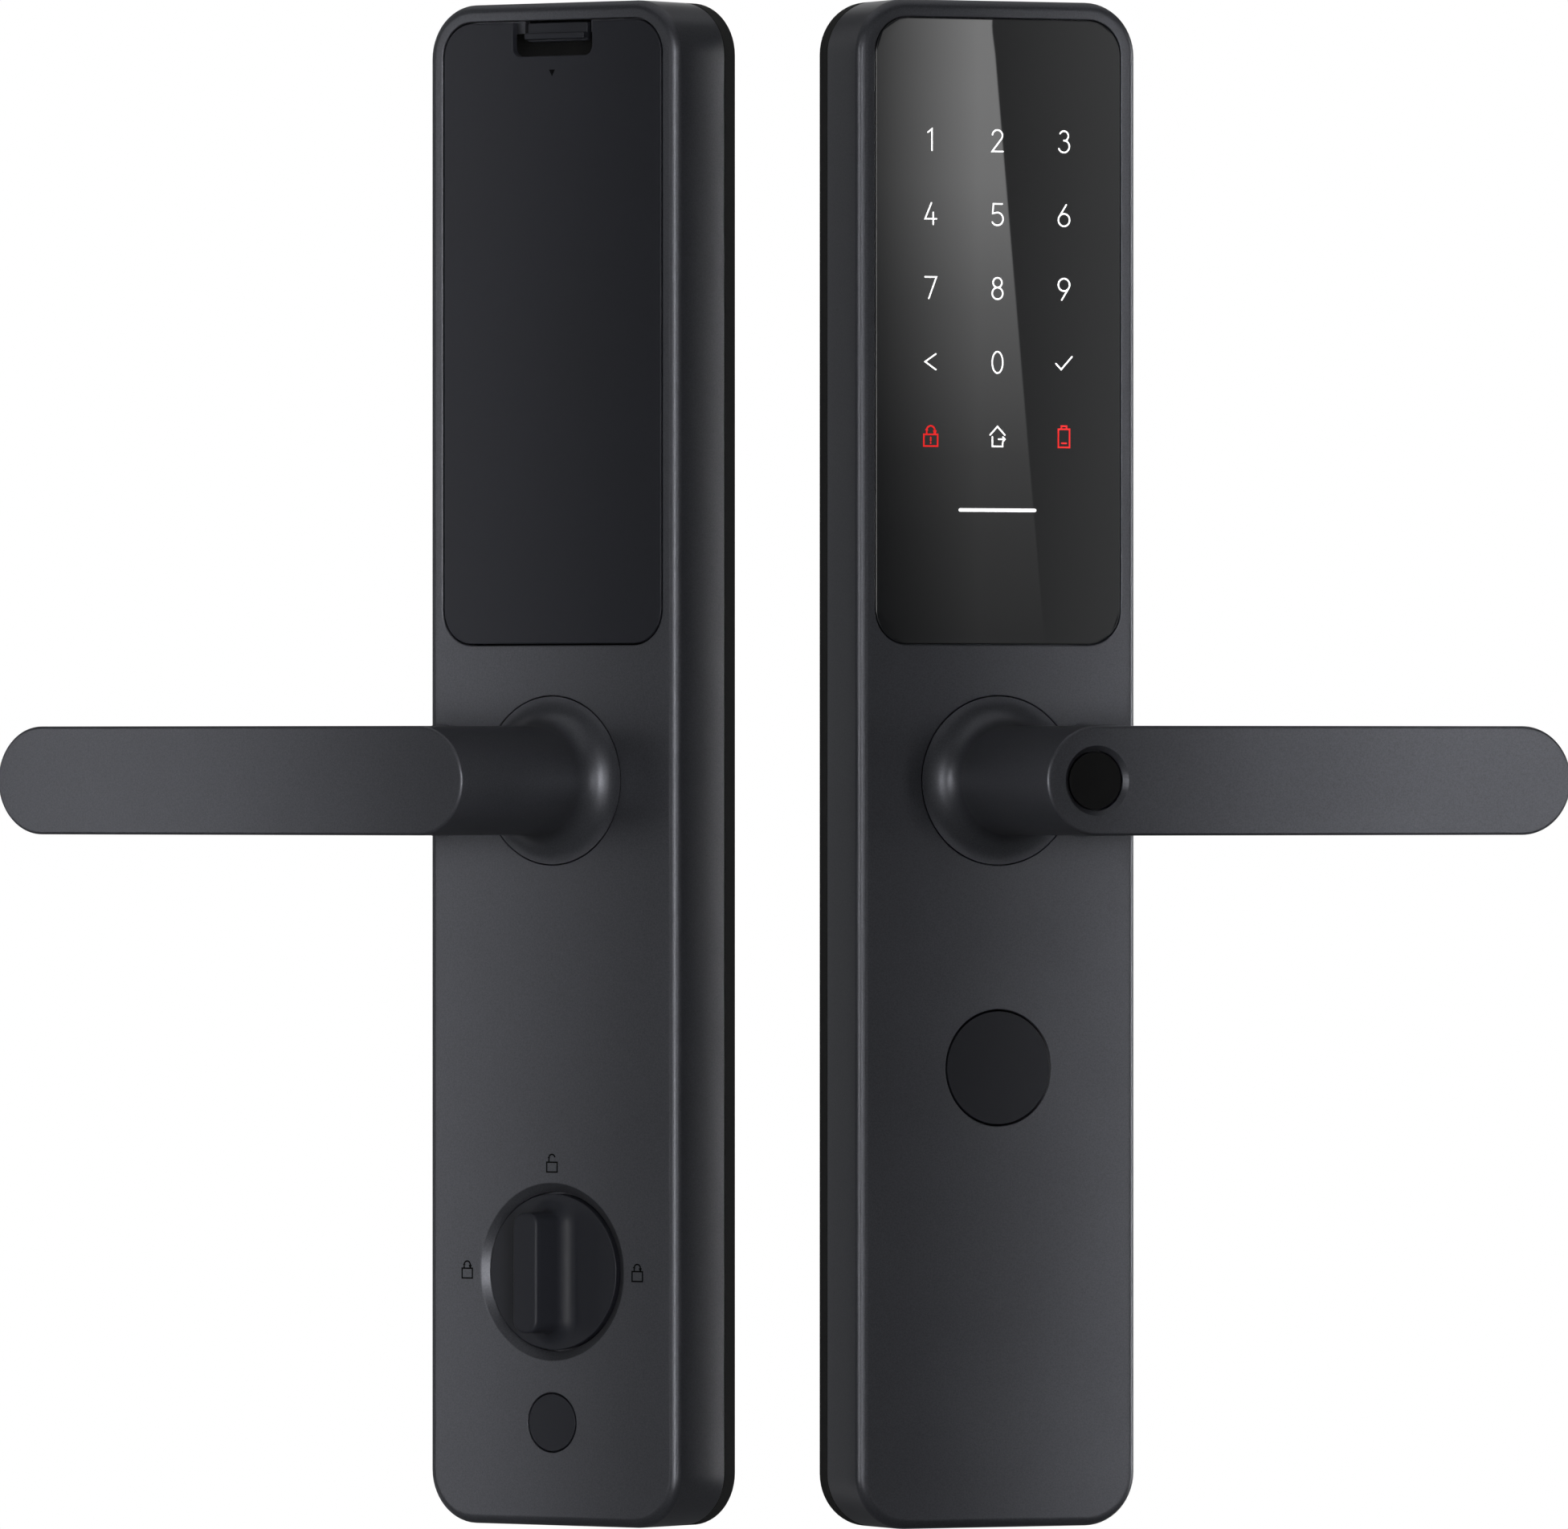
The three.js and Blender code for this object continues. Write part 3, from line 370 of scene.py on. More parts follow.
def finish(
    name,
    base,
    roughness,
    metallic=0.0,
    grain=3000,
    speckle=0.06,
    cloud=0.05,
    bump=0.1,
    depth=0.00002,
    specular=0.5,
    stretch=(1, 1, 1),
    second=None,
):
    """A procedural finish: fine grain in colour and relief over slow variation in colour and gloss."""
    material = bpy.data.materials.new("finish_" + name.replace(".", "_"))
    material.use_nodes = True
    tree = material.node_tree
    shader = tree.nodes["Principled BSDF"]
    place = tree.nodes.new("ShaderNodeTexCoord").outputs["Object"]
    if stretch != (1, 1, 1):
        place = add(tree, "Mapping", {"Scale": stretch, "Vector": place}).outputs["Vector"]
    fine = noise(tree, place, grain)
    slow = noise(tree, place, 28, 3)
    tone = times(
        tree,
        spread(tree, fine, 1 - speckle, 1 + speckle),
        spread(tree, slow, 1 - cloud, 1 + cloud),
    )
    lighter = second or tuple(min(1, c * 1.12) for c in base[:3]) + (1,)
    blend = {"A": base, "B": lighter, "Factor": spread(tree, slow, 0, 1, 0.3)}
    paint = add(tree, "Mix", blend, data_type="RGBA").outputs["Result"]
    shade = add(tree, "VectorMath", {0: paint, "Scale": tone}, operation="SCALE")
    tree.links.new(shade.outputs[0], shader.inputs["Base Color"])
    gloss = spread(tree, slow, roughness * 0.94, roughness * 1.06)
    tree.links.new(gloss, shader.inputs["Roughness"])
    relief = add(tree, "Bump", {"Strength": bump, "Distance": depth, "Height": fine})
    tree.links.new(relief.outputs["Normal"], shader.inputs["Normal"])
    shader.inputs["Metallic"].default_value = metallic
    shader.inputs["Specular IOR Level"].default_value = specular
    finishes[name] = material
    return material


# Dark linear colours that an 8-bit one is too coarse for.
COATED = (0.053, 0.0545, 0.0625, 1)
TRIM = (0.0145, 0.0153, 0.0198, 1)
GLASS = (0.0085, 0.0092, 0.0102, 1)
READER = (0.0042, 0.0042, 0.0043, 1)
MARK = (0.0028, 0.0028, 0.003, 1)
TURNED = (1, 0.12, 1)
finish("coated", COATED, 0.375, 0.6, grain=2700, speckle=0.2, cloud=0.03, bump=0.3)
finish("trim", TRIM, 0.5, grain=4200, cloud=0.03, speckle=0.05, bump=0.12, specular=0.22)
finish("trim.mark", MARK, 0.85, grain=5000, speckle=0.1, specular=0.02)
finish("black", colour(44, 44, 44), 0.62, grain=2600, speckle=0.08, bump=0.35, specular=0.03)
finish("glass", GLASS, 0.008, grain=900, speckle=0.02, bump=0.0, specular=0.55)
finish("sensor", READER, 0.36, grain=5200, speckle=0.08, cloud=0.04, bump=0.2, specular=0.12)
for metal, base, gloss, size in (
    ("steel", colour(150, 152, 155), 0.42, 1500),
    ("brass", colour(186, 154, 92), 0.3, 1300),
):
    finish(metal, base, gloss, 1.0, grain=size, speckle=0.07, bump=0.15, stretch=TURNED)
rubber = {"grain": 1800, "speckle": 0.08, "cloud": 0.08, "bump": 0.5, "specular": 0.05}
finish("rubber", colour(34, 34, 34), 0.8, **rubber)
board = {"grain": 500, "speckle": 0.1, "cloud": 0.2, "bump": 0.4, "second": colour(38, 96, 66)}
finish("board", colour(24, 70, 50), 0.42, **board)
finish("polymer", colour(206, 203, 193), 0.46, grain=2200, speckle=0.03, bump=0.2)
finish("cell", colour(40, 44, 52), 0.28, grain=700, speckle=0.03, bump=0.05, specular=0.6)


def glow(name, base, strength):
    """A legend lit from behind, a little uneven like the real ink."""
    material = finish(name, base, 0.5, grain=2500)
    tree = material.node_tree
    shader = tree.nodes["Principled BSDF"]
    tree.links.new(tree.nodes["Vector Math"].outputs[0], shader.inputs["Emission Color"])
    shader.inputs["Emission Strength"].default_value = strength


glow("glass.white", (0.95, 0.95, 0.95, 1), 0.95)
glow("glass.red", colour(214, 22, 22), 0.75)

# ---- sizes that both units share, in mm

LOW = outer.low("outer_base")
HIGH = outer.high("outer_base")
WIDTH = HIGH.x - LOW.x
HEIGHT = HIGH.z - LOW.z
MIDDLE = (HIGH.z + LOW.z) / 2
CORNER = 13.0
EDGE = 2.4
BACK = outer.high("outer_housing").y
WALL = 2.2
FRONT_WALL = 2.4
REVEAL = 0.4
GLASS_GAP = 0.2
PANEL_LOW = outer.low("touch_panel")
PANEL_HIGH = outer.high("touch_panel")
WINDOW_W = PANEL_HIGH.x - PANEL_LOW.x + 2 * REVEAL
WINDOW_H = PANEL_HIGH.z - PANEL_LOW.z + 2 * REVEAL
WINDOW_Z = (PANEL_HIGH.z + PANEL_LOW.z) / 2
WINDOW_R = 8.7
POCKET = 2.6
LEDGE = 3.0
LEDGE_BACK = 4.6
LOWER_TOP = 30.0
LEVER_R = 13.25
FLANGE_R = 20.5
RECESS_R = FLANGE_R + 0.22
RECESS_DEPTH = 3.3
BOSS_R = RECESS_R + 2
BOSS_BACK = 6.6
BUSH_R = 14.0
KEYHOLE_Z = outer.middle("key_plug").z
KNOB_Z = inner.middle("thumb_turn_knob").z
BUTTON_Z = inner.middle("function_button").z
POSTS = [outer.middle("outer_post_upper").z, outer.middle("outer_post_lower").z]
COVER_R = 13.75
HOLE_R = COVER_R + 0.5
BUTTON_R = 6.95
KNOB_R = inner.size("thumb_turn_knob").z / 2
DISH_R = KNOB_R + 2.6


def outline(inset):
    return rounded(WIDTH - 2 * inset, HEIGHT - 2 * inset, CORNER - inset, MIDDLE)


def window(grow):
    return rounded(WINDOW_W + 2 * grow, WINDOW_H + 2 * grow, WINDOW_R + grow, WINDOW_Z, n=12)


# ---- housings


def housing(unit, holes):
    """Cast shell and its cavities. Each of holes cuts a hole of its own and returns its rim."""
    skin = Skin()
    front = unit.front
    rings = skin.edge(outline, front, EDGE, -1, 9) + skin.edge(outline, BACK, 0.3, 1, 3)[::-1]
    first, last = skin.stack(rings)
    skin.fill(last)
    recess = skin.pocket(lambda g: circle(RECESS_R + g), front, RECESS_DEPTH, 0.22)
    skin.fill(first, skin.pocket(window, front, POCKET, 0.3), recess, *[hole(skin) for hole in holes])

    cavity = plug(outline(WALL), front + LEDGE_BACK, BACK + 1)
    lower = block(
        (-WIDTH / 2 + WALL, WIDTH / 2 - WALL),
        (front + FRONT_WALL, front + LEDGE_BACK + 0.5),
        (LOW.z + CORNER, LOWER_TOP),
    )
    return skin, [cavity, lower]


def cut_with_bosses(shell, unit, cavities, bosses, late):
    """Ends a housing: its cavities leave the bosses standing, and the late cuts go through them."""
    made = []
    for cutter in cavities:
        bmesh.ops.recalc_face_normals(cutter.bm, faces=cutter.bm.faces)
        mesh = bpy.data.meshes.new("cavity")
        cutter.bm.to_mesh(mesh)
        holder = bpy.data.objects.new("cavity", mesh)
        scene.collection.objects.link(holder)
        for boss in bosses:
            carve(holder, boss())
        skin = Skin()
        skin.bm.from_mesh(holder.data)
        bpy.data.objects.remove(holder)
        made.append(skin)
    nodes = [unit.prefix + "_housing"]
    shell.piece(nodes[0] + "_shell", unit, "escutcheons", "coated", nodes, cuts=made + late)


def lever_boss(unit):
    return lambda: plug(circle(BOSS_R), unit.front + 1, unit.front + BOSS_BACK)


def window_cut(unit):
    return plug(window(-LEDGE), unit.front, unit.front + LEDGE_BACK + 1)


def bush_cut(unit):
    return plug(circle(BUSH_R), unit.front + 1, unit.front + 8)


def keyhole_hole(skin):
    return skin.pocket(lambda g: circle(HOLE_R + g, KEYHOLE_Z), outer.front, FRONT_WALL + 0.5, 0.2)


port = outer.middle("power_port")
port_size = outer.size("power_port")
slot_outline = rounded(port_size.x + 0.6, port_size.y + 0.6, port_size.y / 2 + 0.29)
port_slot = plug(slot_outline, -4, 4)
bmesh.ops.transform(
    port_slot.bm,
    verts=port_slot.bm.verts,
    matrix=Matrix.Translation((0, port.y, LOW.z)) @ Matrix.Rotation(QUARTER, 4, "X"),
)
shell, cavities = housing(outer, [keyhole_hole])
late = [window_cut(outer), bush_cut(outer), port_slot]
cut_with_bosses(shell, outer, cavities, [lever_boss(outer)], late)


def dish_hole(skin):
    front = inner.front
    seat = KNOB_R + REVEAL
    slope = [(DISH_R + 0.55, front), (DISH_R, front), (seat, front + 1.6), (seat, front + 3.4)]
    profile = soften(slope, 0.25)
    rings = [skin.ring(circle(r, KNOB_Z), y) for r, y in profile[1:]]
    first, last = skin.stack(rings)
    skin.fill(last)
    return first


def button_hole(skin):
    r, depth = BUTTON_R + REVEAL, FRONT_WALL + 0.5
    return skin.pocket(lambda g: circle(r + g, BUTTON_Z), inner.front, depth, 0.15)


hinge_z = joints["battery_cover_open"]["pos_m"][2] / MM
hinge_top = hinge_z + 2.1
hinge_outline = [p for p in window(0) if p[1] < hinge_z]
hinge_outline += [(WINDOW_W / 2, hinge_top), (-WINDOW_W / 2, hinge_top)]
hinge_outline.sort(key=lambda p: math.atan2(p[1] - hinge_z + 6, p[0]))
hinge_room = plug(hinge_outline, inner.front + POCKET - 0.1, inner.front + LEDGE_BACK + 1)
window_top = WINDOW_Z + WINDOW_H / 2
latch_room = block(
    (-10, 10), (inner.front + 1, inner.front + LEDGE_BACK + 1), (window_top - 4, window_top)
)
knob_bore = plug(circle(8, KNOB_Z), inner.front + 2, inner.front + 8)
shell, cavities = housing(inner, [dish_hole, button_hole])
cut_with_bosses(
    shell,
    inner,
    cavities,
    [
        lever_boss(inner),
        lambda: plug(circle(DISH_R + 1.5, KNOB_Z), inner.front + 1, inner.front + 6.7),
    ],
    [window_cut(inner), bush_cut(inner), knob_bore, hinge_room, latch_room],
)

# ---- bases, gaskets, screws, posts


GROOVE = (2.6, 6.6)
# Heights between which the upright ribs stand, and of the cross ribs.
RIB_SPANS = ((20, 52), (80, 160), (-52, -20), (-104, -88), (-132, -126), (-162, -150))
CROSS_RIBS = (20, 52, 80, 106, 132, 160, -20, -52, -88, -104, -150, -162)
RIB_X = 18
RIB_ROOT = 0.4
SCREW_SEAT_R = 3
HUB_HOLE_R = 11.6


def base(unit, holes, screws):
    """Moulded frame that closes a unit, with its gasket groove, counterbores and ribs."""
    skin = Skin()
    node = unit.prefix + "_base"
    front, back = unit.low(node).y, unit.high(node).y
    rings = skin.edge(outline, front, 0.25, -1, 3) + skin.edge(outline, back, 0.5, 1, 4)[::-1]
    first, last = skin.stack(rings)
    front_loops, back_loops, inner_loops = [first], [last], []
    groove = unit.low(unit.prefix + "_gasket").y - 0.3
    outside, inside = [skin.ring(outline(inset), back) for inset in GROOVE]
    low_out, low_in = [skin.ring(outline(inset), groove) for inset in GROOVE]
    skin.stack([outside, low_out, low_in, inside])
    back_loops.append(outside)
    inner_loops.append(inside)
    for hole in holes:
        levels = ((0.3, back), (0.09, back - 0.1), (0, back - 0.3), (0, front))
        top, bottom = skin.stack([skin.ring(hole(grow), y) for grow, y in levels])
        inner_loops.append(top)
        front_loops.append(bottom)
    for x, z in screws:
        seat = skin.pocket(lambda g, x=x, z=z: circle(SCREW_SEAT_R + g, z, x, 32), back, 2, 0.25, 1)
        inner_loops.append(seat)
    skin.fill(*front_loops)
    skin.fill(*back_loops)
    skin.fill(*inner_loops)
    skin.piece(node + "_frame", unit, "escutcheons", "black", [node])

    ribs = Skin()
    root, top = back - RIB_ROOT, back + 0.45
    for hole_z, r in [(0, 14.5)] + [(z, 7.6) for z in POSTS]:
        profile = [(r - 1.4, root), (r - 1.4, top), (r, top), (r, root)]
        ribs.turned(soften(profile, 0.3), hole_z, n=72)

    def rib(w, h, r, z, x, end):
        """A bar with rounded ends that stands on the back of the base."""
        ribs.slab(lambda i: rounded(w - 2 * i, h - 2 * i, r - i, z, x, 5), root, end, 0.05, 0.3)

    for low, high in RIB_SPANS:
        for x in (-RIB_X, RIB_X):
            rib(1.6, high - low, 0.75, (low + high) / 2, x, top)
    for z in CROSS_RIBS:
        rib(34.6, 1.4, 0.65, z, 0, top - 0.05)
    ribs.piece(unit.prefix + "_base_ribs", unit, "escutcheons", "black")


def gasket(unit):
    node = unit.prefix + "_gasket"
    front, back = unit.low(node).y, unit.high(node).y
    skin = Skin()
    section = [(6.35, front), (2.85, front), (2.85, back - 0.5)]
    section += [(3.0, back - 0.15), (3.35, back), (3.9, back - 0.05), (4.25, back - 0.4)]
    section += [(4.6, back - 0.5), (4.95, back - 0.4), (5.3, back - 0.05), (5.85, back)]
    section += [(6.2, back - 0.15), (6.35, back - 0.5)]
    rings = [skin.ring(outline(i), y) for i, y in section]
    skin.stack(rings + rings[:1])
    skin.piece(unit.prefix + "_gasket_strip", unit, "escutcheons", "rubber", [node])


def screw(unit, node):
    """Pan-head screw with a cross recess, its head at the rear."""
    at, low, high = unit.middle(node), unit.low(node).y, unit.high(node).y
    r = unit.size(node).x / 2
    profile = [(0, low), (1.0, low), (1.3, low + 0.6), (1.3, high - 1.6), (r, high - 1.6)]
    profile += [(r, high - 0.75), (r * 0.86, high - 0.3), (r * 0.6, high - 0.06), (0, high)]
    skin = Skin()
    skin.turned(profile[:5] + soften(profile[4:], 0.2)[1:], at.z, at.x, 48)
    long, short = 1.55, 0.32
    slots = [
        block((at.x - a, at.x + a), (high - 0.95, high + 1), (at.z - b, at.z + b))
        for a, b in ((long, short), (short, long))
    ]
    skin.piece(node + "_pan_head", unit, "escutcheons", "steel", [node], cuts=slots)


def post(node):
    """Threaded post that draws the two units together through the door."""
    at, low, high = outer.middle(node), outer.low(node).y, outer.high(node).y
    base_front = outer.low("outer_base").y
    foot_r, stem_r, crest, valley, pitch = 7, 5, 2.5, 2.78, 0.7
    shoulder = base_front - 0.3
    outside = [(0, low), (foot_r, low), (foot_r, shoulder), (stem_r, shoulder), (stem_r, high)]
    y = high - 0.5
    thread = [(2.9, high), (crest, y)]
    while y > high - 9:
        thread += [(valley, y - pitch / 2), (crest, y - pitch)]
        y -= pitch
    thread.append((0, y - 1.2))
    skin = Skin()
    stem = soften([outside[3], outside[4], thread[0]], 0.3)[1:]
    skin.turned(outside[:4] + stem + thread[1:], at.z, 0, 56)
    skin.piece(node + "_threaded", outer, "escutcheons", "steel", [node], math.radians(50))


def disc_hole(r, z):
    return lambda g: circle(r + g, z)


def socket_hole(z):
    return lambda g: rounded(14 + 2 * g, 10 + 2 * g, 1.5 + g, z, 0, 6)


outer_screws = [n for n in frame["nodes"] if n.startswith("outer_screw_")]
inner_screws = [n for n in frame["nodes"] if n.startswith("inner_screw_")]
for unit, names, socket, low_hole, post_r in (
    (outer, outer_screws, "outer_harness_socket", (10.8, KEYHOLE_Z), 5.3),
    (inner, inner_screws, "inner_harness_header", (6.5, KNOB_Z), 4.6),
):
    holes = [disc_hole(HUB_HOLE_R, 0), disc_hole(*low_hole), socket_hole(unit.middle(socket).z)]
    holes += [disc_hole(post_r, z) for z in POSTS]
    base(unit, holes, [(unit.middle(n).x, unit.middle(n).z) for n in names])
for unit, names in ((outer, outer_screws), (inner, inner_screws)):
    gasket(unit)
    for name in names:
        screw(unit, name)
for name in ("outer_post_upper", "outer_post_lower"):
    post(name)

# ---- touch panel and its legends

skin = Skin()
skin.slab(lambda i: window(-GLASS_GAP - i), PANEL_LOW.y, PANEL_HIGH.y, 0.25, 0.2)
skin.piece("touch_panel_glass", outer, "escutcheons", "glass", ["touch_panel"], math.radians(24))

ONE = [[(-0.8, 1.9), (0.35, 2.75), (0.35, -2.75)]]
TWO = [arc(-0.02, 1.33, 1.42, 172, -38, 16) + [(-1.5, -2.75), (1.6, -2.75)]]
THREE = [arc(0, 1.5, 1.25, 152, -90, 16), arc(-0.02, -1.2, 1.55, 90, -158, 18)]
FOUR = [[(0.2, 2.75), (-1.6, -1.3), (1.65, -1.3)], [(0.7, 0.35), (0.7, -2.75)]]
FIVE = [[(1.35, 2.75), (-1.15, 2.75), (-1.35, 0.3)] + arc(-0.05, -1.1, 1.65, 128, -150, 18)[1:]]
SIX = [arc(0, -1.15, 1.6, 150, 510, 28), [(0.65, 2.75), (-1.38, -0.35)]]
SEVEN = [[(-1.6, 2.75), (1.6, 2.75), (-0.55, -2.75)]]
EIGHT = [arc(0, 1.5, 1.25, 0, 360, 24), arc(0, -1.25, 1.5, 0, 360, 28)]
NINE = [[(-x, -z) for x, z in line] for line in SIX]
ZERO = [[(1.5 * math.cos(TURN * i / 32), 2.75 * math.sin(TURN * i / 32)) for i in range(33)]]
BACKWARD = [[(1.45, 2.0), (-1.6, 0), (1.45, -2.0)]]
TICK = [[(-2.3, -0.15), (-0.8, -1.65), (2.3, 1.65)]]
HOUSE = [
    [(-2.1, 0.35), (0, 2.5), (2.1, 0.35)],
    [(-1.45, -0.15), (-1.45, -2.6), (1.45, -2.6), (1.45, -1.7)],
    [(0.3, -0.75), (2.1, -0.75)],
    [(1.55, -0.2), (2.1, -0.75), (1.55, -1.3)],
]
LOCKED = [
    [(-1.95, 0.35), (1.95, 0.35), (1.95, -2.65), (-1.95, -2.65), (-1.95, 0.35)],
    [(-1.15, 0.35), (-1.15, 1.4)] + arc(0, 1.4, 1.15, 180, 0, 12) + [(1.15, 1.4), (1.15, 0.35)],
    [(0, -0.45), (0, -1.25)],
    [(0, -1.8), (0, -1.9)],
]
UNLOCKED = [LOCKED[0], [(-1.15, 0.35), (-1.15, 1.6)] + arc(0, 1.6, 1.15, 180, 20, 12)]
CHARGE = [
    [(-1.6, 1.95), (1.6, 1.95), (1.6, -2.7), (-1.6, -2.7), (-1.6, 1.95)],
    [(-0.75, 1.95), (-0.75, 2.75), (0.75, 2.75), (0.75, 1.95)],
    [(-0.65, -1.65), (0.65, -1.65)],
]
KEYS = [
    [(ONE, "w"), (TWO, "w"), (THREE, "w")],
    [(FOUR, "w"), (FIVE, "w"), (SIX, "w")],
    [(SEVEN, "w"), (EIGHT, "w"), (NINE, "w")],
    [(BACKWARD, "w"), (ZERO, "w"), (TICK, "w")],
    [(LOCKED, "r"), (HOUSE, "w"), (CHARGE, "r")],
]
KEY_PITCH = 18.0
KEY_SHIFT = -0.28
KEY_TOP = 155.85
KEY_SCALE = 0.95
STROKE = 0.4
INK = 0.04


def draw(skin, glyph, x, z, width, front, scale=1.0):
    """The strokes of one legend, each a hair higher than the one before."""
    for i, line in enumerate(glyph):
        closed = line[0] == line[-1] or (len(line) > 8 and math.dist(line[0], line[-1]) < 1e-3)
        points = [(x + px * scale, z + pz * scale) for px, pz in (line[:-1] if closed else line)]
        skin.stroke(points, width, front + 0.05, front - INK - 0.002 * i, closed)


white, red, bar = Skin(), Skin(), Skin()
for row, keys in enumerate(KEYS):
    for column, (glyph, ink) in enumerate(keys):
        x, z = (column - 1) * KEY_PITCH + KEY_SHIFT, KEY_TOP - row * KEY_PITCH
        draw(white if ink == "w" else red, glyph, x, z, STROKE, outer.front, KEY_SCALE)
draw(bar, [[(-10.1, 0), (10.1, 0)]], KEY_SHIFT, KEY_TOP - 5 * KEY_PITCH, 0.85, outer.front)
white.piece("keypad_legends_white", outer, "escutcheons", "glass.white")
red.piece("keypad_legends_red", outer, "escutcheons", "glass.red")
bar.piece("keypad_status_bar", outer, "escutcheons", "glass.white")

# ---- levers


ARM_DEPTH = 13.0
ARM_BEVEL = 0.7
ARM_FILLET = 1.6
NECK_FLARE = 7.2
HALF = 48
ARM_BACK_STEPS = 4


def half_turn(x, r, side, first, last):
    """Points of half a circle round x, from one angle to another, mirrored by side."""
    angles = [first + (last - first) * i / HALF for i in range(HALF + 1)]
    return [((x + r * math.cos(a)) * side, r * math.sin(a)) for a in angles]


def join_strips(bm, strips):
    for a, b in zip(strips, strips[1:]):
        for i in range(len(a) - 1):
            bm.faces.new((a[i], a[i + 1], b[i + 1], b[i]))


def lever(unit, side, sensor):
    """Lever in one piece: arm with its neck turned from the same width, flared into a flange."""
    node = unit.prefix + "_lever"
    front, face = unit.front, unit.low(node).y
    arm_back = face + ARM_DEPTH
    tip = max(abs(unit.low(node).x), abs(unit.high(node).x)) - LEVER_R

    def arm(inset):
        r = LEVER_R - inset
        root = half_turn(0, -r, side, QUARTER, -QUARTER)
        return root + half_turn(tip, r, side, QUARTER, -QUARTER)

    skin = Skin()
    bm = skin.bm
    rings = skin.edge(arm, face, ARM_BEVEL, -1, 5)
    first, wall_end = skin.stack(rings + [skin.ring(arm(0), arm_back - ARM_BEVEL)])
    loops = [first]
    if sensor:
        seat = face + 1.2
        profile = [(8.75, face), (8.45, face), (7.3, seat), (7.3, seat + 2.0)]
        rings = [skin.ring(circle(r, n=80), y) for r, y in soften(profile, 0.16)[1:]]
        rim, floor = skin.stack(rings)
        skin.fill(floor)
        loops.append(rim)
    skin.fill(*loops)

    # The neck and its flare.
    angles = [-QUARTER + math.pi * i / HALF for i in range(2 * HALF)]
    round_points = [(-LEVER_R * math.cos(a) * side, LEVER_R * math.sin(a)) for a in angles]

    def neck_ring(r, y):
        k = r / LEVER_R
        return skin.ring([(x * k, z * k) for x, z in round_points], y)

    neck = [neck_ring(LEVER_R, arm_back + ARM_FILLET), neck_ring(LEVER_R, front - NECK_FLARE)]
    for i in range(1, 11):
        a = QUARTER * i / 10
        neck.append(
            neck_ring(LEVER_R + NECK_FLARE * (1 - math.cos(a)), front - NECK_FLARE * (1 - math.sin(a)))
        )
    behind = ((-0.05, front), (0, front + 0.08), (0, front + 3), (-8.6, front + 3))
    for grow, y in behind + ((-8.6, unit.high(node).y),):
        neck.append(neck_ring(FLANGE_R + grow, y))
    top, bottom = skin.stack(neck)
    skin.fill(bottom)
    # Root half: straight from the arm's wall to the neck.
    for i in range(HALF):
        bm.faces.new((wall_end[i], wall_end[i + 1], top[i + 1], top[i]))
    # Far half of the neck meets the arm's back through a hollow fillet.
    hollow = [top[HALF:] + [top[0]]]
    for j in range(1, ARM_BACK_STEPS + 1):
        a = QUARTER * j / ARM_BACK_STEPS
        r = LEVER_R + ARM_FILLET * (1 - math.cos(a))
        y = arm_back + ARM_FILLET * (1 - math.sin(a))
        straight = arm_back + ARM_FILLET * (1 - j / ARM_BACK_STEPS)
        ring = []
        for i in range(HALF + 1):
            x, z = round_points[(HALF + i) % (2 * HALF)]
            blend = math.sin(math.pi * i / HALF) ** 0.35
            k = 1 + (r / LEVER_R - 1) * blend
            ring.append(bm.verts.new((x * k, y * blend + straight * (1 - blend), z * k)))
        hollow.append(ring)
    join_strips(bm, hollow)
    # Edge round the back of the arm beyond the neck.
    edge = [wall_end[HALF:] + [wall_end[0]]]
    for j in range(1, ARM_BACK_STEPS + 1):
        a = QUARTER * j / ARM_BACK_STEPS
        source = arm(ARM_BEVEL * (1 - math.cos(a)))
        y = arm_back - ARM_BEVEL * (1 - math.sin(a))
        edge.append(skin.ring(source[HALF:] + source[:1], y))
    join_strips(bm, edge)
    # Short gussets close the two places where edge, neck and fillet meet, then the flat back.
    for end in (0, -1):
        bm.faces.new([strip[end] for strip in edge] + [strip[end] for strip in hollow[::-1]])
    bmesh.ops.recalc_face_normals(bm, faces=bm.faces)
    skin.fill(edge[-1] + hollow[-1][::-1])
    body = unit.prefix + "_lever_set"
    skin.piece(node + "_handle", unit, body, "coated", [node], math.radians(40))


lever(outer, 1, True)
lever(inner, -1, False)

sensor_low, sensor_high = outer.low("fingerprint_sensor").y, outer.high("fingerprint_sensor").y
skin = Skin()
profile = [(0, sensor_low + 0.03), (4, sensor_low), (7, sensor_low), (7, sensor_high)]
skin.turned(soften(profile + [(0, sensor_high)], 0.3), n=96)
skin.piece("fingerprint_reader", outer, "outer_lever_set", "sensor", ["fingerprint_sensor"])

# ---- keyhole


def turned_piece(name, unit, body, slot, profile, z, nodes=(), n=72, r=0.2, cuts=()):
    skin = Skin()
    closed = profile[0][0] > 1e-6
    if closed:
        start = ((profile[0][0] + profile[-1][0]) / 2, (profile[0][1] + profile[-1][1]) / 2)
        profile = [start] + profile + [start]
        profile = soften(profile, r)[:-1]
    else:
        profile = soften(profile, r)
    skin.turned(profile, z, n=n)
    return skin.piece(name, unit, body, slot, nodes, cuts=cuts)


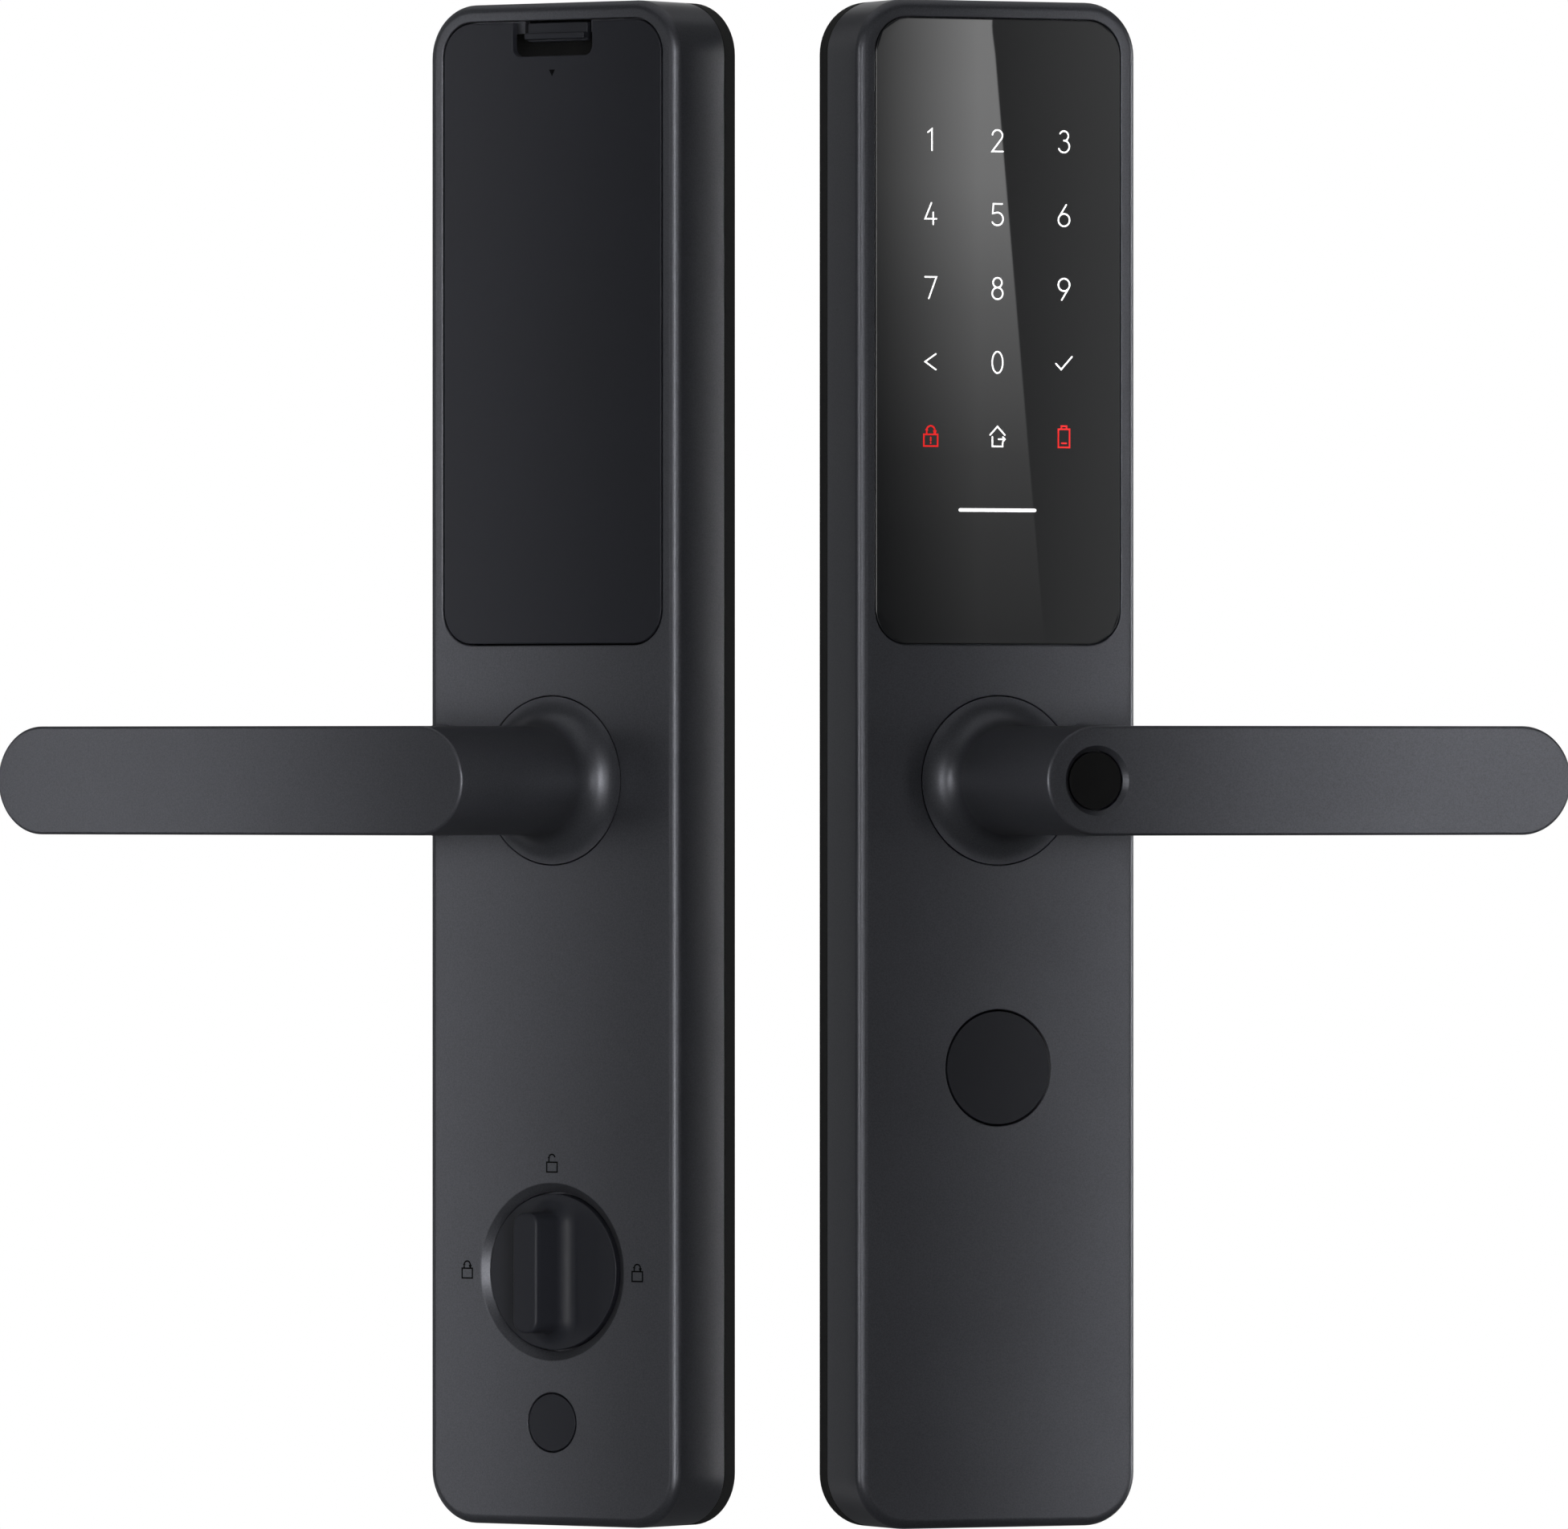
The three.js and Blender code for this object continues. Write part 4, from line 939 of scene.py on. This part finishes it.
front = outer.front
turned_piece(
    "keyhole_cover_disc",
    outer,
    "keyhole_cover",
    "trim",
    [(0, front + 0.02), (COVER_R, front), (COVER_R, front + 2), (COVER_R - 1.2, front + 2)]
    + [(COVER_R - 1.6, front + 1.6), (0, front + 1.6)],
    KEYHOLE_Z,
    ["keyhole_cover"],
    128,
    0.18,
)
bezel_front = outer.low("keyhole_bezel").y
turned_piece(
    "keyhole_bezel_cup",
    outer,
    "escutcheons",
    "black",
    [(15, bezel_front), (18.5, bezel_front), (18.5, bezel_front + 1.5), (16.5, bezel_front + 1.5)]
    + [(16.5, front + 13), (10.5, front + 13), (10.5, front + 11.5), (15, front + 11.5)],
    KEYHOLE_Z,
    ["keyhole_bezel"],
    96,
)
cyl_low, cyl_high = outer.low("key_cylinder").y, outer.high("key_cylinder").y
turned_piece(
    "key_cylinder_barrel",
    outer,
    "escutcheons",
    "steel",
    [(6.8, cyl_low), (10.2, cyl_low), (10.2, cyl_high), (6.8, cyl_high)],
    KEYHOLE_Z,
    ["key_cylinder"],
)
keyway = [
    block((-1.1, 1.1), (cyl_low - 1, cyl_low + 10), (KEYHOLE_Z - 4.3, KEYHOLE_Z + 4.3)),
    block((0.2, 1.7), (cyl_low - 1, cyl_low + 10), (KEYHOLE_Z - 0.6, KEYHOLE_Z + 0.8)),
]
turned_piece(
    "key_plug_face",
    outer,
    "key_plug",
    "brass",
    [(0, cyl_low + 0.5), (2.6, cyl_low + 0.1), (3.2, cyl_low), (6.5, cyl_low)]
    + [(6.5, cyl_high), (0, cyl_high)],
    KEYHOLE_Z,
    ["key_plug"],
    cuts=keyway,
)


def bar_piece(name, unit, body, node, w, h, z, start=None, disc=None):
    """A square or flat bar as long as its node, or from start on, with a turned disc at its root."""
    skin = Skin()
    y0, y1 = unit.low(node).y if start is None else start, unit.high(node).y
    skin.slab(lambda i: rounded(w - 2 * i, h - 2 * i, 0.5 - min(i, 0.4), z, 0, 4), y0, y1, 0.35, 0.45)
    if disc:
        profile, r = disc
        skin.turned(soften(profile, r))
    skin.piece(name, unit, body, "steel", [node])


tail_h = outer.size("key_tail_bar").z
bar_piece("key_tail_flat", outer, "key_plug", "key_tail_bar", 2.4, tail_h, KEYHOLE_Z)
SPINDLE = 8
HUB_R, HUB_NECK_R, HUB_BORE_R = 16.8, 10.4, 7.3
HUB_STEP, HUB_LENGTH = 5.6, 9.2
hub = outer.low("outer_hub").y
root = [(0, hub + 0.1), (7, hub + 0.1), (7, hub + 5.5), (0, hub + 5.5)]
bar_piece(
    "outer_spindle_square",
    outer,
    "outer_lever_set",
    "outer_spindle",
    SPINDLE,
    SPINDLE,
    0,
    hub + 1,
    (root, 0.2),
)
step = [(HUB_R, hub + HUB_STEP), (HUB_NECK_R, hub + HUB_STEP), (HUB_NECK_R, hub + HUB_LENGTH)]
profile = [(HUB_BORE_R, hub + 2), (HUB_BORE_R, hub), (HUB_R, hub)] + step
profile.append((HUB_BORE_R, hub + HUB_LENGTH))
turned_piece("outer_hub_ring", outer, "outer_lever_set", "steel", profile, 0, ["outer_hub"])
hub = inner.low("inner_hub").y
step = [(HUB_R, hub + HUB_STEP), (HUB_NECK_R, hub + HUB_STEP), (HUB_NECK_R, hub + HUB_LENGTH)]
bar_piece(
    "inner_hub_square",
    inner,
    "inner_lever_set",
    "inner_hub",
    SPINDLE,
    SPINDLE,
    0,
    hub + 1,
    ([(0, hub), (HUB_R, hub)] + step + [(0, hub + HUB_LENGTH)], 0.25),
)
bar_piece("thumb_turn_square", inner, "thumb_turn", "thumb_turn_bar", 5, 5, KNOB_Z)

# ---- battery cover and latch

COVER_TOP = WINDOW_Z + WINDOW_H / 2 - REVEAL
COVER_DEPTH = 2.0
NOTCH_W = 24.0
NOTCH_H = 8.3
NOTCH_R = 2.4


def cover_outline(inset):
    """The battery cover's outline with its finger notch in the top edge."""
    grown = window(-REVEAL - inset)
    n = len(grown) // 4
    w, r = NOTCH_W / 2 + inset, NOTCH_R + inset
    floor = COVER_TOP - NOTCH_H - inset
    notch = [(w, COVER_TOP - inset)]
    notch += arc(w - r, floor + r, r, 0, -90, 8)
    notch += arc(-w + r, floor + r, r, -90, -180, 8)
    notch += [(-w, COVER_TOP - inset)]
    return grown[:n] + notch + grown[n:]


front = inner.front
skin = Skin()
skin.slab(cover_outline, front, front + COVER_DEPTH, 0.28, 0.15)
# The two hinge arms.
for side in (-1, 1):
    arm_x = side * (WINDOW_W / 2 - LEDGE - 2)
    skin.slab(
        lambda i, x=arm_x: rounded(2 - 2 * i, 4.2 - 2 * i, 0.8 - min(i, 0.7), hinge_z, x, 4),
        front + 1.8,
        front + 4.3,
        0.05,
        0.4,
    )
cover_body = "battery_cover"
skin.piece("battery_cover_panel", inner, cover_body, "trim", ["battery_cover"], math.radians(26))

pins = Skin()
for x in (-1, 1):
    x0, x1 = sorted((x * (WINDOW_W / 2 - LEDGE - 2.5), x * (WINDOW_W / 2 + 1.2)))
    rings = []
    for cut, r in ((x0, 0.8), (x0 + 0.3, 1.1), (x1 - 0.3, 1.1), (x1, 0.8)):
        loop = circle(r, 0, 0, 24)
        rings.append([pins.bm.verts.new((cut, front + 2.6 + a, hinge_z + b)) for a, b in loop])
    first, last = pins.stack(rings)
    pins.bm.faces.new(first)
    pins.bm.faces.new(last)
pins.piece("battery_cover_hinge_pins", inner, cover_body, "trim")

mark = Skin()
tri = [(-0.9, 0.8), (0.9, 0.8), (0, -0.85)]
loop = [(x, z + COVER_TOP - 12.5) for x, z in tri]
a, b = mark.stack([mark.ring(loop, front - 0.02), mark.ring(loop, front + 0.05)])
mark.bm.faces.new(a)
mark.bm.faces.new(b)
mark.piece("battery_cover_arrow", inner, cover_body, "trim.mark")

latch = Skin()
latch_low, latch_high = inner.low("battery_latch"), inner.high("battery_latch")
plate_front = front + COVER_DEPTH + 0.3
latch.slab(
    lambda i: rounded(18 - 2 * i, 4.6 - 2 * i, 0.6 - min(i, 0.5), latch_high.z - 2.3, 0, 4),
    plate_front,
    latch_high.y,
    0.2,
    0.2,
)
latch.slab(
    lambda i: rounded(18 - 2 * i, 1.6 - 2 * i, 0.45 - min(i, 0.4), latch_high.z - 3.3, 0, 4),
    latch_low.y,
    plate_front + 0.4,
    0.25,
    0.1,
)
latch.piece("battery_latch_bar", inner, "battery_latch", "trim", ["battery_latch"])

# ---- thumb turn, marks, function button

GRIP_W, GRIP_L, GRIP_FLAT = 7.2, 29.4, 0.6
GRIP_FOOT = 3.6
GRIP_TOP = inner.low("thumb_turn_knob").y
knob_front = front + 0.4


def grip(spread):
    w = GRIP_W + 2 * spread
    return rounded(w, GRIP_L + 2 * spread, w / 2 - GRIP_FLAT, KNOB_Z, 0, 14)


skin = Skin()
stack = skin.edge(lambda i: grip(-i), GRIP_TOP, 0.75, -1, 5)
for i in range(9):
    a = QUARTER * i / 8
    foot = grip(GRIP_FOOT * (1 - math.cos(a)))
    stack.append(skin.ring(foot, knob_front - GRIP_FOOT * (1 - math.sin(a))))
top, foot = skin.stack(stack)
skin.fill(top)
disc = skin.edge(lambda i: circle(KNOB_R - i, KNOB_Z, n=120), knob_front, 0.25, -1, 3)
knob_back, hub_r = front + 3.0, 7.7
for r, y in ((KNOB_R, knob_back), (hub_r, knob_back), (hub_r, inner.high("thumb_turn_knob").y)):
    disc.append(skin.ring(circle(r, KNOB_Z, n=120), y))
first, last = skin.stack(disc)
skin.fill(first, foot)
skin.fill(last)
skin.piece("thumb_turn_grip", inner, "thumb_turn", "trim", ["thumb_turn_knob"])

marks = Skin()
MARK_SIZE = {"width": 0.36, "front": front, "scale": 0.8}
draw(marks, UNLOCKED, 0, KNOB_Z + 26.5, **MARK_SIZE)
for x in (-25.7, 25.7):
    draw(marks, LOCKED[:2], x, KNOB_Z + 0.2, **MARK_SIZE)
marks.piece("thumb_turn_marks", inner, "escutcheons", "trim.mark")

button_back = inner.high("function_button").y
turned_piece(
    "function_button_cap",
    inner,
    "function_button",
    "trim",
    [(0, front + 0.02), (BUTTON_R, front), (BUTTON_R, front + 3), (8.6, front + 3)]
    + [(8.6, front + 4), (2.2, front + 4), (2.2, button_back), (0, button_back)],
    BUTTON_Z,
    ["function_button"],
    96,
    0.16,
)

# ---- battery cells


def cell(node):
    """AA cell: wrap with a contrasting band at the nub end, crimped steel ends."""
    low, high, at = inner.low(node), inner.high(node), inner.middle(node)
    r = inner.size(node).x / 2
    length = high.z - low.z
    # The nub end is the one whose outermost vertices are close to the axis.
    back = inner.place.inverted()
    points = [back @ v.co for v in frame["nodes"][node].data.vertices]
    up = max(math.hypot(p.x - at.x, p.y - at.y) for p in points if p.z > high.z - 0.01) < r * 0.6
    foot = [(0, 0.05), (4.6, 0), (5.4, 0.15), (6.4, 0.15), (r - 0.35, 0.0), (r, 0.45)]
    head = [(r, 1.7), (r - 0.45, 1.2), (5.9, 1.35), (3.1, 1.25), (2.75, 1.0), (2.75, 0.2)]
    head += [(2.5, 0), (0, 0)]
    skin = Skin()
    skin.turned(foot + [(x, length - down) for x, down in head], n=48)
    stand = Matrix.Rotation(QUARTER if up else -QUARTER, 4, "X")
    centre = Matrix.Translation((0, -length / 2, 0))
    turn = Matrix.Translation(at) @ stand @ centre
    bmesh.ops.transform(skin.bm, verts=skin.bm.verts, matrix=turn)
    obj = skin.piece(node + "_wrapped", inner, "escutcheons", "cell", [node])
    obj.data.materials.append(finishes["steel"])
    obj.data.materials.append(finishes["brass"])
    for face in obj.data.polygons:
        z = face.center.z / MM
        from_foot = z - low.z if up else high.z - z
        away = back @ face.center
        radial = math.hypot(away.x - at.x, away.y - at.y)
        if radial < r - 0.5:
            face.material_index = 1
        elif from_foot > length * 0.74:
            face.material_index = 2


for name in sorted(n for n in frame["nodes"] if n.startswith("battery_cell_")):
    cell(name)

# ---- CAD nodes that stay

KEPT = {
    "steel": "clutch_motor outer_return_spring inner_return_spring battery_contacts_lower"
    " battery_contacts_upper power_port detent_spring function_button_spring clutch_pin clutch_screw",
    "board": "keypad_board main_board button_switch",
    "polymer": "outer_harness_socket inner_harness_header outer_lever_bush inner_lever_bush"
    " clutch_yoke detent_cam",
    "black": "battery_tray",
}
for slot, names in KEPT.items():
    for name in names.split():
        node = frame["nodes"][name]
        node.data.materials.clear()
        node.data.materials.append(finishes[slot])
        soft = node.modifiers.new("Edges", "BEVEL")
        soft.width = 0.12 * MM
        soft.segments = 2
        soft.limit_method = "ANGLE"
        soft.angle_limit = math.radians(50)

# ---- floor, light, camera

PALE = (0.86, 0.86, 0.86, 1)
floor_material = finish("floor", PALE, 0.7, grain=40, speckle=0.01, cloud=0.01, bump=0.0)
skin = Skin()
first = skin.ring(circle(3000, n=96), 0)
skin.fill(first)
mesh = bpy.data.meshes.new("floor")
bmesh.ops.transform(skin.bm, verts=skin.bm.verts, matrix=Matrix.Rotation(QUARTER, 4, "X"))
skin.bm.to_mesh(mesh)
mesh.transform(Matrix.Scale(MM, 4))
floor = bpy.data.objects.new("floor", mesh)
floor.location = (0, 0, cad_low.z - 0.27)
floor_shader = floor_material.node_tree.nodes["Principled BSDF"]
floor_shader.inputs["Emission Color"].default_value = (1, 1, 1, 1)
floor_shader.inputs["Emission Strength"].default_value = 1.0
mesh.materials.append(floor_material)
scene.collection.objects.link(floor)
floor.visible_diffuse = False
floor.visible_glossy = False


def look(obj, along):
    obj.rotation_mode = "QUATERNION"
    obj.rotation_quaternion = along.to_track_quat("-Z", "Y")


AZIMUTH = math.radians(-25)
CAMERA_DISTANCE = 4.3
SENSOR = 36.0
LENS = 405.3
to_camera = Vector((math.sin(AZIMUTH), -math.cos(AZIMUTH), 0))
target = Vector((-0.0470, -0.0012, 0.0039))
camera_data = bpy.data.cameras.new("camera")
camera_data.lens = LENS
camera_data.sensor_width = SENSOR
camera_data.clip_end = 100
camera = bpy.data.objects.new("camera", camera_data)
camera.location = target + to_camera * CAMERA_DISTANCE
look(camera, -to_camera)
scene.collection.objects.link(camera)
scene.camera = camera


def area_light(name, at, towards, width, height, power, beam=180):
    data = bpy.data.lights.new(name, "AREA")
    data.shape = "RECTANGLE"
    data.size, data.size_y = width, height
    data.energy = power
    data.spread = math.radians(beam)
    light = bpy.data.objects.new(name, data)
    light.visible_camera = False
    light.location = at
    look(light, towards - at)
    scene.collection.objects.link(light)


LIGHT_CENTRE = Vector((-0.035, 0, MIDDLE * MM))
LIGHT_HEIGHT = 0.9
LEVER_TIP = outer.high("outer_lever").x
AIMS = {
    "inner edge": inner.point(-WIDTH / 2, inner.front, MIDDLE),
    "inner middle": inner.point(0, inner.front, MIDDLE),
    "inner tip": inner.point(-LEVER_TIP + 9, inner.low("inner_lever").y, MIDDLE),
    "outer edge": outer.point(WIDTH / 2, outer.front, MIDDLE),
    "outer tip": outer.point(LEVER_TIP - 9, outer.low("outer_lever").y, MIDDLE),
}
STRIP_WIDTH = 0.08
# Tall soft strips round the lock: distance, azimuth, what each faces, beam spread, power.
STRIPS = [
    (0.35, -75, "outer tip", 25, 0.155),
    (0.35, 5, "outer tip", 50, 0.213),
    (0.35, 85, "inner edge", 25, 0.15),
    (0.5, -45, "inner edge", 25, 0.041),
    (0.5, -45, "outer edge", 25, 0.096),
    (0.5, -25, "inner edge", 25, 0.193),
    (0.5, 5, "inner tip", 25, 0.125),
    (0.5, 45, "outer tip", 25, 0.029),
    (0.5, 85, "outer tip", 25, 0.024),
    (0.7, -105, "inner tip", 25, 0.023),
    (0.7, -85, "inner tip", 25, 0.103),
    (0.7, -75, "inner tip", 25, 0.15),
    (0.7, 15, "outer tip", 25, 0.231),
]


def place_round(azimuth, elevation, distance):
    a, e = math.radians(azimuth), math.radians(elevation)
    flat = math.cos(e)
    return LIGHT_CENTRE + Vector((math.sin(a) * flat, -math.cos(a) * flat, math.sin(e))) * distance


for i, (distance, azimuth, aim, beam, power) in enumerate(STRIPS):
    at = place_round(azimuth, 0, distance)
    area_light("strip_%d" % i, at, AIMS[aim], STRIP_WIDTH, LIGHT_HEIGHT, power, beam)

# Softboxes behind, overhead and low behind: azimuth, elevation, distance, width, height, power.
# Only the large shells block light from the far sides, so the thin bars behind one unit
# leave no streaks on the other.
SOFTBOXES = {
    "back_softbox": (-150, 0, 2.0, 0.52, 3.0, 3.2),
    "overhead_softbox": (155, 84, 1.3, 2.0, 2.0, 6.3),
    "back_high_softbox": (155, 21, 2.2, 1.0, 0.5, 1.3),
    "back_low_softbox": (115, -20, 1.1, 0.37, 0.22, 0.12),
}
for name, (azimuth, elevation, distance, *size_and_power) in SOFTBOXES.items():
    area_light(name, place_round(azimuth, elevation, distance), LIGHT_CENTRE, *size_and_power)
blockers = bpy.data.collections.new("softbox_blockers")
for name in (
    "outer_housing_shell",
    "inner_housing_shell",
    "outer_base_frame",
    "inner_base_frame",
    "outer_lever_handle",
):
    blockers.objects.link(bpy.data.objects[name])
for name in ("back_softbox", "strip_2", "strip_8"):
    light = bpy.data.objects[name]
    light.light_linking.blocker_collection = blockers
    light.data.cycles.use_multiple_importance_sampling = False


# A card that only the touch panel sees: bright up to a slanted edge, fading downwards and to the
# left, and fading out at its own edges. Its sizes are in millimetres on the panel.
CARD_DISTANCE = 500.0
CARD_GAIN = 22.0
CARD_HALF_WIDTH = 44.0
CARD_FADE = 26.0
CARD_SIDE_FADE = 4.0
CARD_LOW = WINDOW_Z - WINDOW_H / 2 - 4 - CARD_FADE
CARD_HIGH = WINDOW_Z + WINDOW_H / 2 + 4 + CARD_FADE
MAGNIFIED = (CAMERA_DISTANCE / MM + CARD_DISTANCE) / (CAMERA_DISTANCE / MM)
away = Vector((-to_camera.x, to_camera.y, 0))
across = Vector((-away.y, away.x, 0))
card_mesh = bpy.data.meshes.new("reflection_card")
corners = [(x, z) for z in (CARD_LOW, CARD_HIGH) for x in (-CARD_HALF_WIDTH, CARD_HALF_WIDTH)]
card_mesh.from_pydata([(x * MM, z * MM, 0) for x, z in corners], [], [(0, 1, 3, 2)])
card = bpy.data.objects.new("reflection_card", card_mesh)
foreshortened = -away.y
eye_z = camera.location.z / MM
card.matrix_world = Matrix(
    (
        (across.x * foreshortened * MAGNIFIED, 0, away.x, away.x * CARD_DISTANCE * MM),
        (across.y * foreshortened * MAGNIFIED, 0, away.y, (outer.front + away.y * CARD_DISTANCE) * MM),
        (0, MAGNIFIED, 0, eye_z * MM * (1 - MAGNIFIED)),
        (0, 0, 0, 1),
    )
)
scene.collection.objects.link(card)
card.visible_camera = False
card.visible_shadow = False
card.visible_diffuse = False

material = bpy.data.materials.new("card_light")
material.use_nodes = True
tree = material.node_tree
tree.nodes.clear()


def math_node(operation, a, b, clamp=False):
    return add(tree, "Math", {0: a, 1: b}, operation=operation, use_clamp=clamp).outputs[0]


on_card = tree.nodes.new("ShaderNodeTexCoord").outputs["Object"]
axes = add(tree, "SeparateXYZ", {0: on_card})
u = math_node("MULTIPLY", axes.outputs["X"], 1 / MM)
z = math_node("MULTIPLY", axes.outputs["Y"], 1 / MM)
bottom = WINDOW_Z - WINDOW_H / 2
height = math_node("DIVIDE", math_node("SUBTRACT", z, bottom), WINDOW_H, True)
EDGE_TOP, EDGE_BOTTOM = 4.4, 18.5
EDGE_SHARPNESS = 2.5
edge_u = math_node("ADD", math_node("MULTIPLY", height, EDGE_TOP - EDGE_BOTTOM), EDGE_BOTTOM)
past_edge = math_node("MULTIPLY", math_node("SUBTRACT", edge_u, u), EDGE_SHARPNESS)
inside = math_node("ADD", past_edge, 0.5, True)
outside = math_node("SUBTRACT", 1.0, inside)
fade = add(tree, "ValToRGB", {"Fac": height})
# Brightness left of the edge, from the panel's foot to its top.
LEVELS = [
    (0.0, 0.021),
    (0.18, 0.031),
    (0.30, 0.043),
    (0.54, 0.092),
    (0.74, 0.155),
    (0.88, 0.172),
    (1.0, 0.176),
]
ramp = fade.color_ramp
while len(ramp.elements) < len(LEVELS):
    ramp.elements.new(0.5)
for element, (position, value) in zip(ramp.elements, LEVELS):
    element.position = position
    element.color = (value, value, value, 1)
DARK_AT, BRIGHT_OVER, FADE_POWER = 38.0, 38.5, 1.25
reach = math_node("DIVIDE", math_node("ADD", u, DARK_AT), BRIGHT_OVER, True)
left = math_node("MULTIPLY", fade.outputs["Color"], math_node("POWER", reach, FADE_POWER))
RIGHT_LEVEL, RIGHT_SLOPE = 0.0128, 0.0005
right = math_node("ADD", math_node("MULTIPLY", u, RIGHT_SLOPE), RIGHT_LEVEL)
right = math_node("MULTIPLY", right, math_node("ADD", math_node("MULTIPLY", height, 0.25), 0.87))
level = math_node("ADD", math_node("MULTIPLY", left, inside), math_node("MULTIPLY", right, outside))
for distance, width in (
    (math_node("SUBTRACT", z, CARD_LOW), CARD_FADE),
    (math_node("SUBTRACT", CARD_HIGH, z), CARD_FADE),
    (math_node("SUBTRACT", CARD_HALF_WIDTH, u), CARD_SIDE_FADE),
):
    level = math_node("MULTIPLY", level, math_node("DIVIDE", distance, width, True))
emission = add(tree, "Emission", {"Strength": math_node("MULTIPLY", level, CARD_GAIN)})
add(tree, "OutputMaterial", {"Surface": emission.outputs[0]})
card_mesh.materials.append(material)
seen_by = bpy.data.collections.new("card_receivers")
seen_by.objects.link(bpy.data.objects["touch_panel_glass"])
card.light_linking.receiver_collection = seen_by

world = bpy.data.worlds.new("studio")
scene.world = world
world.use_nodes = True
tree = world.node_tree
tree.nodes.clear()
# White to the camera, a weak cool light to everything else.
shown = add(tree, "Background", {"Color": (1, 1, 1, 1)})
lit = add(tree, "Background", {"Color": (0.95, 0.97, 1, 1), "Strength": 0.1})
seen = add(tree, "LightPath", {}).outputs["Is Camera Ray"]
chosen = add(tree, "MixShader", {0: seen, 1: lit.outputs[0], 2: shown.outputs[0]})
add(tree, "OutputWorld", {"Surface": chosen.outputs[0]})
scene.view_settings.view_transform = "Standard"
